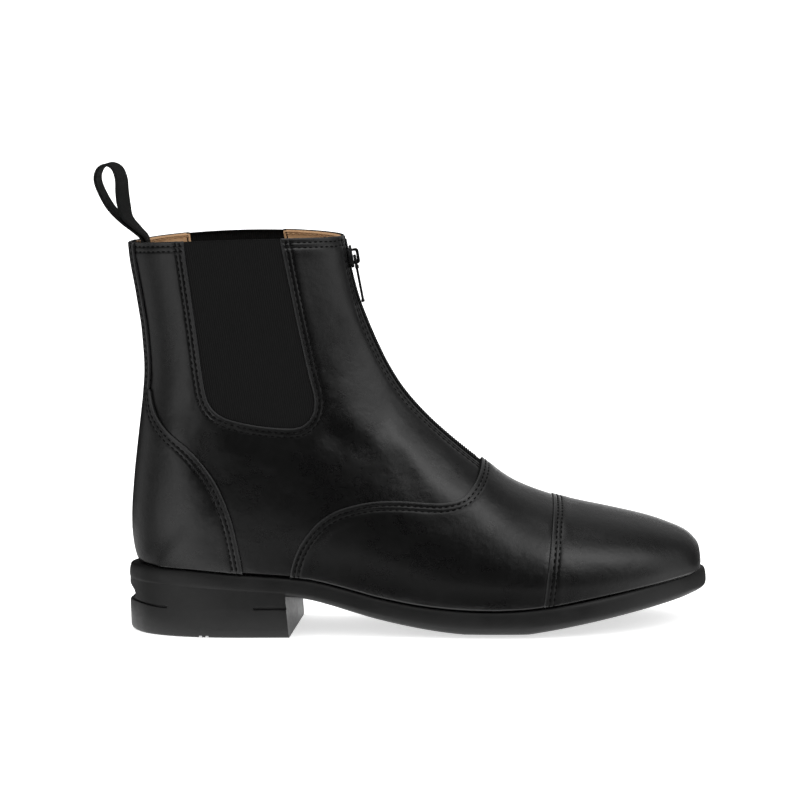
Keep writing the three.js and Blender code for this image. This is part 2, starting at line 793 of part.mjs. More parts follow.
// Insole lying on the sole inside the upper
function makeInsole() {
  const room = form(-wall - gap);
  return room.intersect(underBlock(gap + insoleThickness)).subtract(underBlock(gap));
}

// Pull loop: flat tape on the inside of the collar's back, standing up in a loop and turned a little about z
function makePullLoop() {
  const backX = surface(sections.length - 2, 0).x + wall;
  const collar = collarZ(backX);
  const steps = 2;
  const line = [];
  for (let i = 0; i <= (loopPath.length - 1) * steps; i++) {
    line.push([
      backX + column(loopPath, "back", i / steps),
      collar + column(loopPath, "up", i / steps) * loopRise,
    ]);
  }
  const half = loopThickness / 2;
  const loops = line.map(([x, z], i) => {
    const [ax, az] = line[Math.max(i - 1, 0)];
    const [bx, bz] = line[Math.min(i + 1, line.length - 1)];
    const size = Math.hypot(bx - ax, bz - az);
    const nx = (-(bz - az) / size) * half;
    const nz = ((bx - ax) / size) * half;
    const twist = THREE.MathUtils.degToRad(column(loopPath, "turn", i / steps));
    const corner = (sign, across) => {
      const y = (across * loopWidth) / 2;
      return [x + sign * nx + y * Math.sin(twist), y * Math.cos(twist), z + sign * nz];
    };
    return [corner(1, -1), corner(1, 1), corner(-1, 1), corner(-1, -1)];
  });
  return loft(loops);
}

// Materials
const leather = new THREE.MeshStandardMaterial({ color: 0x1c1d1d, roughness: 0.38, metalness: 0 });
const lining = new THREE.MeshStandardMaterial({ color: 0xb07a45, roughness: 0.75, metalness: 0 });
const elastic = new THREE.MeshStandardMaterial({ color: 0x101010, roughness: 0.9, metalness: 0 });
const rubber = new THREE.MeshStandardMaterial({ color: 0x1e1e1e, roughness: 0.6, metalness: 0 });
const nylon = new THREE.MeshStandardMaterial({ color: 0x0e0e0e, roughness: 0.6, metalness: 0 });
const metal = new THREE.MeshStandardMaterial({ color: 0x141414, roughness: 0.35, metalness: 0.8 });
const webbing = new THREE.MeshStandardMaterial({ color: 0x181a19, roughness: 0.85, metalness: 0 });

// A named mesh of a solid; the boot is moved back so that the point under the heel's middle is the origin
const heelMiddle = 0.2 * soleLength;
const boot = new THREE.Group();
function addPiece(name, made, material, place) {
  const mesh = made.getMesh();
  const positions = new Float32Array(mesh.numVert * 3);
  for (let i = 0; i < mesh.numVert; i++) {
    positions.set(mesh.vertProperties.subarray(i * mesh.numProp, i * mesh.numProp + 3), i * 3);
  }
  const geometry = new THREE.BufferGeometry();
  geometry.setAttribute("position", new THREE.BufferAttribute(positions, 3));
  geometry.setIndex(new THREE.BufferAttribute(new Uint32Array(mesh.triVerts), 1));
  geometry.computeVertexNormals();
  const piece = new THREE.Mesh(geometry, material);
  piece.name = name;
  if (place) piece.applyMatrix4(place);
  boot.add(piece);
}
boot.position.x = -heelMiddle;

addPiece("outsole", makeOutsole(), rubber);
addPiece("insole", makeInsole(), lining);
addPiece("upper", makeUpper(), leather);
addPiece("vamp", makeVamp(), leather);
addPiece("toe_cap", makeToeCap(), leather);
addPiece("counter", makeCounter(), leather);
addPiece("gusset_lateral", makeGusset(-1), elastic);
addPiece("gusset_medial", makeGusset(1), elastic);
addPiece("zip_chain", makeZipChain(), nylon);

const sliderPlace = new THREE.Matrix4()
  .makeBasis(seat.out, new THREE.Vector3(0, 1, 0), seat.down.clone().negate())
  .setPosition(seat.point);
addPiece("zip_slider", makeSlider(), metal, sliderPlace);

const restRow = 19.3;
const rest = ridgeFrame(restRow, coilHeight + gap * 1.4 + pullThickness / 2);
const pullUp = pivot.clone().sub(rest.point).normalize();
const pullOut = new THREE.Vector3(pullUp.z, 0, -pullUp.x);
const pullPlace = new THREE.Matrix4()
  .makeBasis(new THREE.Vector3(0, 1, 0), pullOut.clone().negate(), pullUp)
  .setPosition(pivot);
addPiece("zip_pull", makePull(), metal, pullPlace);
addPiece("pull_loop", makePullLoop(), webbing);

export default boot;
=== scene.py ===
# Looks of a right-foot paddock boot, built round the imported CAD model. Shapes are made in millimetres from
# the heel's back, as in the part's source. mesh_object turns them into metres in the part's frame.
import math

import bmesh
import bpy
import numpy as np
from mathutils import Matrix, Vector, noise
from mathutils.geometry import delaunay_2d_cdt
from mathutils.kdtree import KDTree


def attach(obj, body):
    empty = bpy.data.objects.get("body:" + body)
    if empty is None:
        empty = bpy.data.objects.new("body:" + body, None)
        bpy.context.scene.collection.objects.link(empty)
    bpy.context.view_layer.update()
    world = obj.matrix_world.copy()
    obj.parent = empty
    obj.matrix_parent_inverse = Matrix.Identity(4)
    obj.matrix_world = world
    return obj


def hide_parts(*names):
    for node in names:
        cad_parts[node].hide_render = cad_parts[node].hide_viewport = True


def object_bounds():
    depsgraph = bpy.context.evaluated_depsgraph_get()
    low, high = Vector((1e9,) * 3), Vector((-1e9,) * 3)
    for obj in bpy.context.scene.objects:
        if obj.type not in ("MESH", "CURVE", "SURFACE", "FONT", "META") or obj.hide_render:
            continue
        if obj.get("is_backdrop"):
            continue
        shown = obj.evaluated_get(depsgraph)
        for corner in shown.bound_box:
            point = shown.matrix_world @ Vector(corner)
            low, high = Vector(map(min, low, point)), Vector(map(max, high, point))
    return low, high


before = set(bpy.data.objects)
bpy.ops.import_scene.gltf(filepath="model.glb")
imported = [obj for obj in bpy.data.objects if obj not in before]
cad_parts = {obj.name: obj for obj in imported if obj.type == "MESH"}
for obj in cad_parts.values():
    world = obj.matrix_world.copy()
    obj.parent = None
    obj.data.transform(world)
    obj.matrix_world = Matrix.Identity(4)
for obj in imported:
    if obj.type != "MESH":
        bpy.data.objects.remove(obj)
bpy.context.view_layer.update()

# Driving dimensions, the same as in the part's source
sole_length = 285.0
ball_width = 93.0
heel_height = 31.3
ball_height = 12.7
toe_spring = 13.4
heel_length = 82.0
collar_height = 163.0
ankle_width = 60.0
wall = 2.2
rim_margin = 3.2
gap = 0.3
elastic_thickness = 1.5
collar_dip = 1.8
collar_tilt = 1.0
shank_relief = 1.1
slit_half_width = 4.2
coil_height = 0.5
tape_recess = 0.5
slider_width = 8.4
slider_length = 11.0
slider_plate = 1.3
bail_width = 1.8
bail_bar = 1.2
bail_room = 1.7
bail_span = 4.8
pull_length = 23.0
pull_width = 5.6
pull_thickness = 1.3
loop_width = 15.0
loop_thickness = 1.2
loop_rise = 37.5
breast_skew = 5.8
breast_lean = 2.3
spur_rest_height = 18.6
spur_rest_depth = 3.4
engraved_height = 14.6
engraved_width = 1.1
engraved_depth = 0.8
tread_depth = 1.0
tread_width = 1.6
heel_sunk = 4.5
skirt = 6.0
backstay_half_width = 9.0
backstay_from = 0.46
heel_middle = 0.2 * sole_length
shaft_middle = 0.196 * sole_length
shaft_half_depth = 0.183 * sole_length
slit_end = 0.623 * sole_length
tread_start = 0.358 * sole_length
heel_row = 16
belly_turn = 0.36
ankle_scale = ankle_width / (ball_width * 0.645)

# Outline of the sole from above: share of the length, outer edge and inner edge as shares of the ball width
outline = [
    (0.0, 0.0, 0.0),
    (0.02, -0.142, 0.142),
    (0.05, -0.222, 0.222),
    (0.1, -0.287, 0.287),
    (0.16, -0.324, 0.324),
    (0.24, -0.34, 0.338),
    (0.32, -0.352, 0.326),
    (0.4, -0.368, 0.318),
    (0.48, -0.394, 0.342),
    (0.56, -0.424, 0.412),
    (0.63, -0.446, 0.486),
    (0.7, -0.452, 0.54),
    (0.76, -0.435, 0.556),
    (0.82, -0.388, 0.538),
    (0.88, -0.306, 0.482),
    (0.93, -0.205, 0.402),
    (0.97, -0.082, 0.298),
    (1.0, 0.108, 0.108),
]

# Side view of the sole's top: share of the length, share of the heel drop, share of the toe spring, thickness
sole_side = [
    (0.0, 1.12, 0, 0.85),
    (0.1, 1.08, 0, 0.85),
    (0.2, 0.96, 0, 0.85),
    (0.27, 0.885, 0, 0.84),
    (0.31, 0.825, 0, 0.86),
    (0.35, 0.69, 0, 0.9),
    (0.39, 0.52, 0, 0.94),
    (0.43, 0.35, 0, 0.95),
    (0.49, 0.16, 0, 0.97),
    (0.55, 0.045, 0, 1.01),
    (0.61, 0, 0, 1.04),
    (0.67, 0, 0.03, 1.06),
    (0.72, 0, 0.14, 1.03),
    (0.81, 0, 0.42, 1.0),
    (0.9, 0, 0.72, 1.0),
    (1.0, 0, 1.0, 0.98),
]

# Side faces of the sole plate and the heel block: share of the height, inset in millimetres
plate_edge = [
    (0.0, 17), (0.05, 9.5), (0.13, 3.8), (0.22, 1.2), (0.38, 0.1), (0.7, 0.2), (0.92, 0.8), (1.0, 1.7),
]
heel_edge = [(0.0, 2.0), (0.03, 0.9), (0.08, 0.3), (0.5, 0.1), (1.0, 0.3)]

# Sections of the upper: low x, top x, low height, top height, outer, inner, ridge, belly, fullness
sections = [
    (0.985, 0.985, 0, -0.02, 0.108, 0.108, 0.108, 0.4, 2.0),
    (0.982, 0.981, 0, 0.026, -0.005, 0.221, 0.108, 0.4, 2.0),
    (0.975, 0.975, 0, 0.045, -0.06, 0.276, 0.108, 0.38, 2.05),
    (0.962, 0.962, 0, 0.066, -0.112, 0.327, 0.108, 0.35, 2.05),
    (0.938, 0.939, 0, 0.085, -0.174, 0.38, 0.107, 0.32, 2.1),
    (0.893, 0.895, 0, 0.111, -0.262, 0.446, 0.105, 0.29, 2.15),
    (0.82, 0.824, 0, 0.141, -0.352, 0.504, 0.1, 0.27, 2.15),
    (0.735, 0.742, 0, 0.177, -0.414, 0.525, 0.085, 0.26, 2.1),
    (0.655, 0.669, 0, 0.229, -0.426, 0.497, 0.06, 0.25, 2.0),
    (0.575, 0.609, 0, 0.308, -0.41, 0.42, 0.03, 0.24, 1.9),
    (0.49, 0.557, 0, 0.382, -0.386, 0.352, 0.008, 0.24, 1.85),
    (0.4, 0.514, 0, 0.453, -0.366, 0.328, 0, 0.26, 1.85),
    (0.3, 0.478, 0, 0.527, -0.352, 0.33, 0, 0.3, 1.85),
    (0.2, 0.452, 0, 0.6, -0.344, 0.338, 0, 0.34, 1.88),
    (0.1, 0.434, 0, 0.665, -0.338, 0.336, 0, 0.38, 1.9),
    (0.036, 0.4245, 0, 0.704, -0.334, 0.332, 0, 0.42, 1.92),
    (0.021, 0.4195, 0.01, 0.725, -0.33, 0.328, 0, 0.44, 1.94),
    (0.013, 0.4155, 0.07, 0.743, -0.327, 0.325, 0, 0.45, 1.96),
    (0.0115, 0.4115, 0.15, 0.761, -0.324, 0.323, 0, 0.46, 1.98),
    (0.018, 0.4067, 0.28, 0.784, -0.322, 0.321, 0, 0.48, 2.0),
    (0.029, 0.4016, 0.43, 0.811, -0.32, 0.32, 0, 0.49, 2.0),
    (0.0385, 0.3968, 0.58, 0.842, -0.32, 0.32, 0, 0.5, 2.0),
    (0.036, 0.392, 0.7, 0.877, -0.321, 0.321, 0, 0.5, 2.0),
    (0.027, 0.3875, 0.815, 0.915, -0.323, 0.323, 0, 0.5, 2.0),
    (0.018, 0.384, 0.915, 0.955, -0.325, 0.325, 0, 0.5, 2.0),
    (0.0145, 0.3805, 0.985, 0.993, -0.326, 0.326, 0, 0.5, 2.0),
    (0.012, 0.377, 1.06, 1.06, -0.327, 0.327, 0, 0.5, 2.0),
]

# Seam lines in side view: share of the sole's length, share of the collar height above the heel seat
vamp_seam = [
    (0.276, -0.09), (0.281, 0.0), (0.291, 0.062), (0.307, 0.112), (0.329, 0.156), (0.358, 0.189),
    (0.392, 0.207), (0.426, 0.216), (0.468, 0.216), (0.51, 0.209), (0.544, 0.206), (0.573, 0.217),
    (0.593, 0.247), (0.605, 0.283), (0.61, 0.33), (0.613, 0.4),
]
counter_seam = [
    (0.201, -0.05), (0.2, 0.005), (0.193, 0.083), (0.181, 0.175), (0.157, 0.278), (0.118, 0.368),
    (0.075, 0.43), (0.054, 0.485), (0.047, 0.545),
]
gusset_edge = [
    (0.107, 1.08), (0.109, 0.99), (0.1275, 0.72), (0.139, 0.56), (0.15, 0.503), (0.174, 0.47),
    (0.217, 0.45), (0.264, 0.438), (0.3, 0.439), (0.321, 0.468), (0.327, 0.52), (0.318, 0.592),
    (0.299, 0.755), (0.274, 0.99), (0.266, 1.08),
]
cap_line_low = (0.7085, -0.12)
cap_line_top = (0.736, 0.24)

# Tape of the pull loop: distance in front of the collar's back edge, share of the rise, turn in degrees
loop_path = [
    (4.6, -0.33, 0), (4.5, -0.12, 0), (3.8, 0.03, 2), (0.4, 0.13, 5), (-5.8, 0.27, 8), (-11.8, 0.45, 9),
    (-16.3, 0.68, 8), (-17.6, 0.83, 8), (-16.0, 0.95, 9), (-12.2, 1.0, 11), (-8.2, 0.95, 15),
    (-6.2, 0.81, 18), (-5.9, 0.64, 20), (-5.2, 0.47, 20), (-3.4, 0.3, 14), (1.6, 0.155, 6),
    (5.7, 0.035, 1), (6.3, -0.12, 0), (6.3, -0.33, 0),
]


# Vectors in rows, each brought to a length of one
def unit(vectors):
    return vectors / np.maximum(np.linalg.norm(vectors, axis=1)[:, None], 1e-9)


# Distance run along a polyline at each of its points
def distances_along(points):
    return np.concatenate([[0], np.cumsum(np.linalg.norm(np.diff(points, axis=0), axis=1))])


def points_along(line, far, at):
    return np.stack([np.interp(at, far, line[:, k]) for k in range(line.shape[1])], axis=1)


# Smallest of several level functions at each point
def least(levels, points):
    return np.min([level(points) for level in levels], axis=0)


def bell(x, half):
    return np.exp(-((x / half) ** 2))


# Smooth value of one column between rows of a table, at fractional row numbers
def column(table, number, at):
    values = np.array([row[number] for row in table], float)
    at = np.asarray(at, float)
    last = len(values) - 1
    i = np.clip(np.floor(at).astype(int), 0, last - 1)
    f = at - i
    a = values[np.clip(i - 1, 0, last)]
    b = values[i]
    c = values[i + 1]
    d = values[np.clip(i + 2, 0, last)]
    return b + 0.5 * f * (c - a + f * (2 * a - 5 * b + 4 * c - d + f * (3 * (b - c) + d - a)))


side_rows = np.linspace(0, len(sole_side) - 1, 4001)
side_along = column(sole_side, 0, side_rows)


def sole_row(x):
    return np.interp(np.clip(np.asarray(x, float) / sole_length, 0, 1), side_along, side_rows)


def sole_top(x):
    row = sole_row(x)
    drop = column(sole_side, 1, row) * (heel_height - ball_height)
    return ball_height + drop + column(sole_side, 2, row) * toe_spring


def sole_bottom(x):
    return np.maximum(0, sole_top(x) - column(sole_side, 3, sole_row(x)) * ball_height)


# Closed curve round the sole, up the outer side and back on the inner side
outline_last = len(outline) - 1
outline_knots = np.array(
    [(a * sole_length, o * ball_width) for a, o, i in outline]
    + [(a * sole_length, i * ball_width) for a, o, i in outline[1:outline_last][::-1]]
)


def outline_at(share):
    count = len(outline_knots)
    place = np.asarray(share, float) * count
    i = np.floor(place).astype(int)
    w = (place - i)[:, None]
    p0, p1, p2, p3 = (outline_knots[(i + k) % count] for k in (-1, 0, 1, 2))
    d0, d1, d2 = (
        np.sqrt(np.linalg.norm(b - a, axis=1))[:, None] for a, b in ((p0, p1), (p1, p2), (p2, p3))
    )
    t1 = ((p1 - p0) / d0 - (p2 - p0) / (d0 + d1) + (p2 - p1) / d1) * d1
    t2 = ((p2 - p1) / d1 - (p3 - p1) / (d1 + d2) + (p3 - p2) / d2) * d1
    return p1 + w * (t1 + w * (-3 * p1 + 3 * p2 - 2 * t1 - t2 + w * (2 * p1 - 2 * p2 + t1 + t2)))


# Points of the outline at fractional rows on one side (-1 outer, 1 inner), moved inwards by an inset
def outline_points(row, side, inset):
    share = np.asarray(row, float) / (2 * outline_last)
    t = np.where(np.asarray(side) < 0, share, (1 - share) % 1)
    tangent = unit(outline_at((t + 1e-4) % 1) - outline_at((t - 1e-4) % 1))
    point = outline_at(t)
    return np.stack([point[:, 0] - tangent[:, 1] * inset, point[:, 1] + tangent[:, 0] * inset], axis=1)


foot_rows = np.linspace(0, outline_last, 241)
foot_lines = [outline_points(foot_rows, np.full(241, side), rim_margin) for side in (-1, 1)]


def foot_y(x, side):
    outer, inner = (np.interp(x, np.maximum.accumulate(line[:, 0]), line[:, 1]) for line in foot_lines)
    return np.where(side < 0, outer, inner)


def smoothstep(x, low, high):
    share = np.clip((x - low) / (high - low), 0, 1)
    return share * share * (3 - 2 * share)


def breadth_at(row):
    return ball_width * (1 + (ankle_scale - 1) * smoothstep(row, heel_row - 5, heel_row + 2))


# Outer surface of the upper: row picks the section, turn runs 0 to 1 from the outer foot line over the ridge
def surface(row, turn):
    low_x, top_x, low_up, top_up, outer, inner, ridge, belly, full = (
        column(sections, k, row) for k in range(9)
    )
    side = np.where(turn < 0.5, -1, 1)
    climb = np.where(turn < 0.5, turn * 2, (1 - turn) * 2)
    low_x = np.maximum(low_x * sole_length, rim_margin)
    top_x = top_x * sole_length
    breadth = breadth_at(row)
    open_share = np.clip(heel_row - row, 0, 1)
    low_z = sole_top(low_x) + low_up * collar_height - skirt * open_share
    top_z = heel_height + top_up * collar_height
    middle = ridge * breadth
    widest = np.abs(np.where(side < 0, outer, inner) * breadth - middle)
    foot = np.minimum(np.abs(foot_y(low_x, side) - middle), widest) * open_share
    low_angle = np.clip(climb / belly_turn, 0, 1) * math.pi / 2
    high_angle = np.clip((climb - belly_turn) / (1 - belly_turn), 0, 1) * math.pi / 2
    power = 2 / full
    under = climb < belly_turn
    share = np.where(
        under, belly * (1 - np.cos(low_angle)), belly + (1 - belly) * np.sin(high_angle) ** power
    )
    reach = np.where(
        under,
        np.sqrt(foot**2 + (widest**2 - foot**2) * np.sin(low_angle) ** 2),
        widest * np.maximum(np.cos(high_angle), 0) ** power,
    )
    return np.stack(
        [low_x + (top_x - low_x) * share, middle + side * reach, low_z + (top_z - low_z) * share], axis=1
    )


# Chart of the surface in millimetres: u runs round the section, v along the rows from the toe to the collar
around_length = 230.0
whole_rows = np.arange(len(sections), dtype=float)
measured_turns = np.array([0.12, 0.3, 0.5])
row_marks = [0.0]
for start in range(len(sections) - 1):
    low, high = (surface(np.full(3, row), measured_turns) for row in (float(start), start + 1.0))
    row_marks.append(row_marks[-1] + float(np.linalg.norm(high - low, axis=1).mean()))
row_marks = np.array(row_marks)
chart_end = float(row_marks[-1])


def chart_rows(q):
    return np.interp(q[:, 1], row_marks, whole_rows)


def base_points(q):
    turn = q[:, 0] / around_length
    return surface(chart_rows(q), turn - np.floor(turn))


# Unit normals of the surface, pointing out of the boot
def normals_at(q):
    row = chart_rows(q)
    turn = q[:, 0] / around_length
    whole = np.floor(turn)
    step = 0.004
    lower = np.where((row < heel_row) & (turn - step < whole), turn, turn - step)
    upper = np.where((row < heel_row) & (turn + step > whole + 1), turn, turn + step)
    around = surface(row, np.clip(upper - np.floor(upper), 0, 1)) - surface(row, lower - np.floor(lower))
    turn = turn - whole
    last = len(sections) - 1
    along = surface(np.minimum(row + 0.05, last), turn) - surface(np.maximum(row - 0.05, 0), turn)
    normal = np.cross(around, along)
    size = np.linalg.norm(normal, axis=1)[:, None]
    tip = (row < 0.02) | (size[:, 0] < 1e-9)
    normal = normal / np.maximum(size, 1e-9)
    normal[tip] = (1, 0, 0)
    return normal


def collar_z(x):
    share = np.clip((x - shaft_middle) / shaft_half_depth, -1.2, 1.2)
    return heel_height + collar_height - collar_dip * share**2 + collar_tilt * share


# Seams as polylines in side view
def seam_line(rows, steps=4):
    at = np.arange((len(rows) - 1) * steps + 1) / steps
    x = column(rows, 0, at) * sole_length
    z = heel_height + column(rows, 1, at) * collar_height
    return np.stack([x, z], axis=1)


# Signed distance in side view to an open line, positive on its right hand
def line_distance(points, line):
    p = points[:, None, [0, 2]]
    a = line[None, :-1]
    d = (line[1:] - line[:-1])[None]
    t = np.clip(((p - a) * d).sum(2) / (d * d).sum(2), 0, 1)
    off = p - (a + d * t[:, :, None])
    far = np.linalg.norm(off, axis=2)
    nearest = far.argmin(1)
    index = np.arange(len(points))
    cross = d[0, nearest, 0] * off[index, nearest, 1] - d[0, nearest, 1] * off[index, nearest, 0]
    return np.where(cross < 0, 1.0, -1.0) * far[index, nearest]


below = -80
vamp_line = seam_line(vamp_seam)
vamp_line = np.vstack([[vamp_line[0, 0], below], vamp_line, [vamp_line[-1, 0], vamp_line[-1, 1] + 60]])
counter_line = seam_line(counter_seam)
counter_line = np.vstack([[counter_line[0, 0], below], counter_line, [-60, counter_line[-1, 1]]])
gusset_line = seam_line(gusset_edge)
cap_ends = [(a * sole_length, heel_height + u * collar_height) for a, u in (cap_line_low, cap_line_top)]


def vamp_level(points):
    return line_distance(points, vamp_line)


def counter_level(points):
    return -line_distance(points, counter_line)


def gusset_level(points):
    return line_distance(points, gusset_line)


def cap_level(points):
    (x0, z0), (x1, z1) = cap_ends
    return points[:, 0] - (x0 + (x1 - x0) * (points[:, 2] - z0) / (z1 - z0))


def bottom_level(points):
    return points[:, 2] - sole_top(points[:, 0]) - gap


def collar_level(points):
    return collar_z(points[:, 0]) - points[:, 2]


def slit_level(points):
    beside = np.abs(points[:, 1]) - slit_half_width
    inside = (points[:, 0] > shaft_middle) & (points[:, 0] < slit_end)
    return np.where(inside, beside, np.maximum(beside, points[:, 0] - slit_end))


def in_metres(points):
    points = np.asarray(points, float)
    return (points - (heel_middle, 0, 0)) / 1000


# Lines where a level function is zero on the chart, as lists of chart points, within a span of u
def trace(level, span, spacing=1.1, step=1.6):
    u = np.arange(span[0], span[1] + step, step)
    v = np.minimum(np.arange(0, chart_end + step, step), chart_end)
    grid_u, grid_v = np.meshgrid(u, v, indexing="ij")
    q = np.stack([grid_u.ravel(), grid_v.ravel()], axis=1)
    f = level(base_points(q)).reshape(grid_u.shape)
    inside = f > 0
    mixed = inside[:-1, :-1].astype(int) + inside[1:, :-1] + inside[:-1, 1:] + inside[1:, 1:]
    links = {}
    places = {}

    def crossing(a, b):
        if inside[a] == inside[b]:
            return None
        key = (a, b)
        if key not in places:
            share = f[a] / (f[a] - f[b])
            pa = np.array([grid_u[a], grid_v[a]])
            pb = np.array([grid_u[b], grid_v[b]])
            places[key] = pa + (pb - pa) * share
        return key

    for i, j in np.argwhere((mixed > 0) & (mixed < 4)):
        a, b, c, d = (i, j), (i + 1, j), (i + 1, j + 1), (i, j + 1)
        found = [k for k in (crossing(a, b), crossing(b, c), crossing(d, c), crossing(a, d)) if k]
        for k in range(0, len(found) - 1, 2):
            links.setdefault(found[k], []).append(found[k + 1])
            links.setdefault(found[k + 1], []).append(found[k])
    lines = []
    free = set(links)
    starts = sorted(k for k in links if len(links[k]) == 1) + sorted(links)
    for start in starts:
        if start not in free:
            continue
        chain = [start]
        free.discard(start)
        while True:
            onward = [k for k in links[chain[-1]] if k in free]
            if not onward:
                break
            chain.append(onward[0])
            free.discard(onward[0])
        closed = len(chain) > 3 and chain[0] in links[chain[-1]]
        if closed:
            chain.append(start)
        if len(chain) < 5:
            continue
        line = snap(np.array([places[k] for k in chain]), level, span)
        far = distances_along(base_points(line))
        at = np.linspace(0, far[-1], max(int(round(far[-1] / spacing)), 2) + 1)
        line = snap(points_along(line, far, at), level, span)
        lines.append((line[:-1] if closed else line, closed))
    return lines


def within(q, span):
    return np.clip(q, (span[0], 0), (span[1], chart_end))


# How much a function of chart points changes along u and along v, for each chart millimetre
def chart_slopes(function, q):
    h = 0.05
    return [(function(q + step) - function(q - step)) / (2 * h) for step in ((h, 0), (0, h))]


# Chart points moved onto the zero line of a level function
def snap(line, level, span):
    for _ in range(4):
        f = level(base_points(line))
        slope = np.stack(chart_slopes(lambda q: level(base_points(q)), line), axis=1)
        move = slope * (f / np.maximum((slope**2).sum(1), 1e-4))[:, None]
        size = np.linalg.norm(move, axis=1)[:, None]
        line = within(line - move * np.minimum(1, 0.8 / np.maximum(size, 1e-9)), span)
    return line


def tangents_of(points, closed):
    if closed:
        return unit(np.roll(points, -1, axis=0) - np.roll(points, 1, axis=0))
    return unit(np.gradient(points, axis=0))


# Chart lines at stated distances inwards of a traced line
def inward_lines(line, closed, level, distances, span):
    q = line
    points = base_points(q)
    inward = np.cross(normals_at(q), tangents_of(points, closed))
    trial = q + 0.4 * chart_move(q, inward)
    sign = np.sign(np.median(level(base_points(trial)) - level(points)))
    found = {}
    reached = 0.0
    for distance in distances:
        parts = max(1, int(math.ceil((distance - reached) / 0.4)))
        for _ in range(parts):
            normal = normals_at(q)
            flat = unit(inward - normal * (inward * normal).sum(1)[:, None])
            q = within(q + chart_move(q, flat * sign * (distance - reached) / parts), span)
        reached = distance
        found[distance] = q
    return found


# Chart step that moves points on the surface by a given vector
def chart_move(q, move):
    su, sv = chart_slopes(base_points, q)
    uu = (su * su).sum(1) + 1e-6
    vv = (sv * sv).sum(1) + 1e-6
    uv = (su * sv).sum(1)
    mu = (su * move).sum(1)
    mv = (sv * move).sum(1)
    det = np.maximum(uu * vv - uv * uv, 1e-6)
    return np.stack([(mu * vv - mv * uv) / det, (mv * uu - mu * uv) / det], axis=1)


# Points as triples, chart points with a zero for the third number
def triples(points):
    return [p if len(p) == 3 else (p[0], p[1], 0) for p in points]


def tree_of(points):
    tree = KDTree(len(points))
    for i, p in enumerate(triples(points)):
        tree.insert(p, i)
    tree.balance()
    return tree


def nearest(tree, points):
    return np.array([tree.find(p)[2] for p in triples(points)])


def dense(points, closed, spacing=0.3):
    if closed:
        points = np.vstack([points, points[:1]])
    far = distances_along(points)
    return points_along(points, far, np.linspace(0, far[-1], max(int(far[-1] / spacing), 2)))


# Broad unevenness of lasted leather, in millimetres
def unevenness(points):
    found = []
    for x, y, z in points:
        slow = noise.noise(Vector((x / 42, y / 42, z / 30)))
        quick = noise.noise(Vector((x / 15 + 7, y / 15, z / 12)))
        found.append(0.34 * slow + 0.09 * quick)
    return np.array(found)


# Creases given in side view: start, end, half width and depth (a ridge where the depth is negative)
creases = [
    ((86, 103), (118, 92), 6.0, 0.55),
    ((92, 116), (103, 99), 5.0, 0.45),
    ((54, 101), (88, 94), 3.6, 0.55),
    ((48, 94), (72, 85), 5.0, -0.3),
    ((134, 95), (152, 71), 6.5, -0.4),
    ((125, 99), (139, 77), 4.5, 0.3),
    ((104, 92), (128, 78), 9.0, 0.4),
    ((108, 108), (128, 92), 8.0, -0.45),
    ((96, 150), (104, 120), 6.0, -0.35),
    ((105, 83), (84, 68), 10.0, 0.45),
    ((148, 62), (168, 48), 9.0, 0.35),
    ((28, 98), (36, 62), 9.0, -0.8),
    ((107, 186), (113, 155), 5.5, -0.65),
    ((113, 155), (129, 121), 5.5, -0.65),
    ((94, 182), (99, 142), 6.0, 0.35),
]


def crease_depth(points):
    total = np.zeros(len(points))
    for (x0, z0), (x1, z1), half, depth in creases:
        direction = np.array([x1 - x0, z1 - z0], float)
        off = points[:, [0, 2]] - (x0, z0)
        t = (off @ direction) / (direction @ direction)
        near = off - np.clip(t, 0, 1)[:, None] * direction
        fade = bell(np.linalg.norm(near, axis=1), half)
        total -= depth * fade * smoothstep(np.abs(points[:, 1]), 4, 14)
    return total


# How far the leather turns in at the sole
def tuck_depth(points):
    low = bottom_level(points)
    return 0.35 * np.clip(1 - low / 5.0, 0, 1) ** 2 + 1.25 * np.clip(1 - low / 1.05, 0, 1)


# Height that unevenness, creases and the tuck at the sole give a skin, calmer near its sewn edges
def skin_height(points, edge, rough, tuck):
    calm = smoothstep(edge, 0.5, 7)
    uneven = unevenness(points) * (0.35 + 0.65 * calm) + crease_depth(points) * (0.3 + 0.7 * calm)
    return rough * uneven - tuck * tuck_depth(points)


# Mesh lines beside a cut edge and beside a stitch row, the groove of a row, a distance that means far off
edge_ribbons = [0.35, 0.7, 1.1]
groove_ribbons = (-0.7, -0.35, 0, 0.35, 0.7)
groove_depth = 0.24
groove_half_width = 0.42
far_from_edge = 12.0
leather_rows = {}


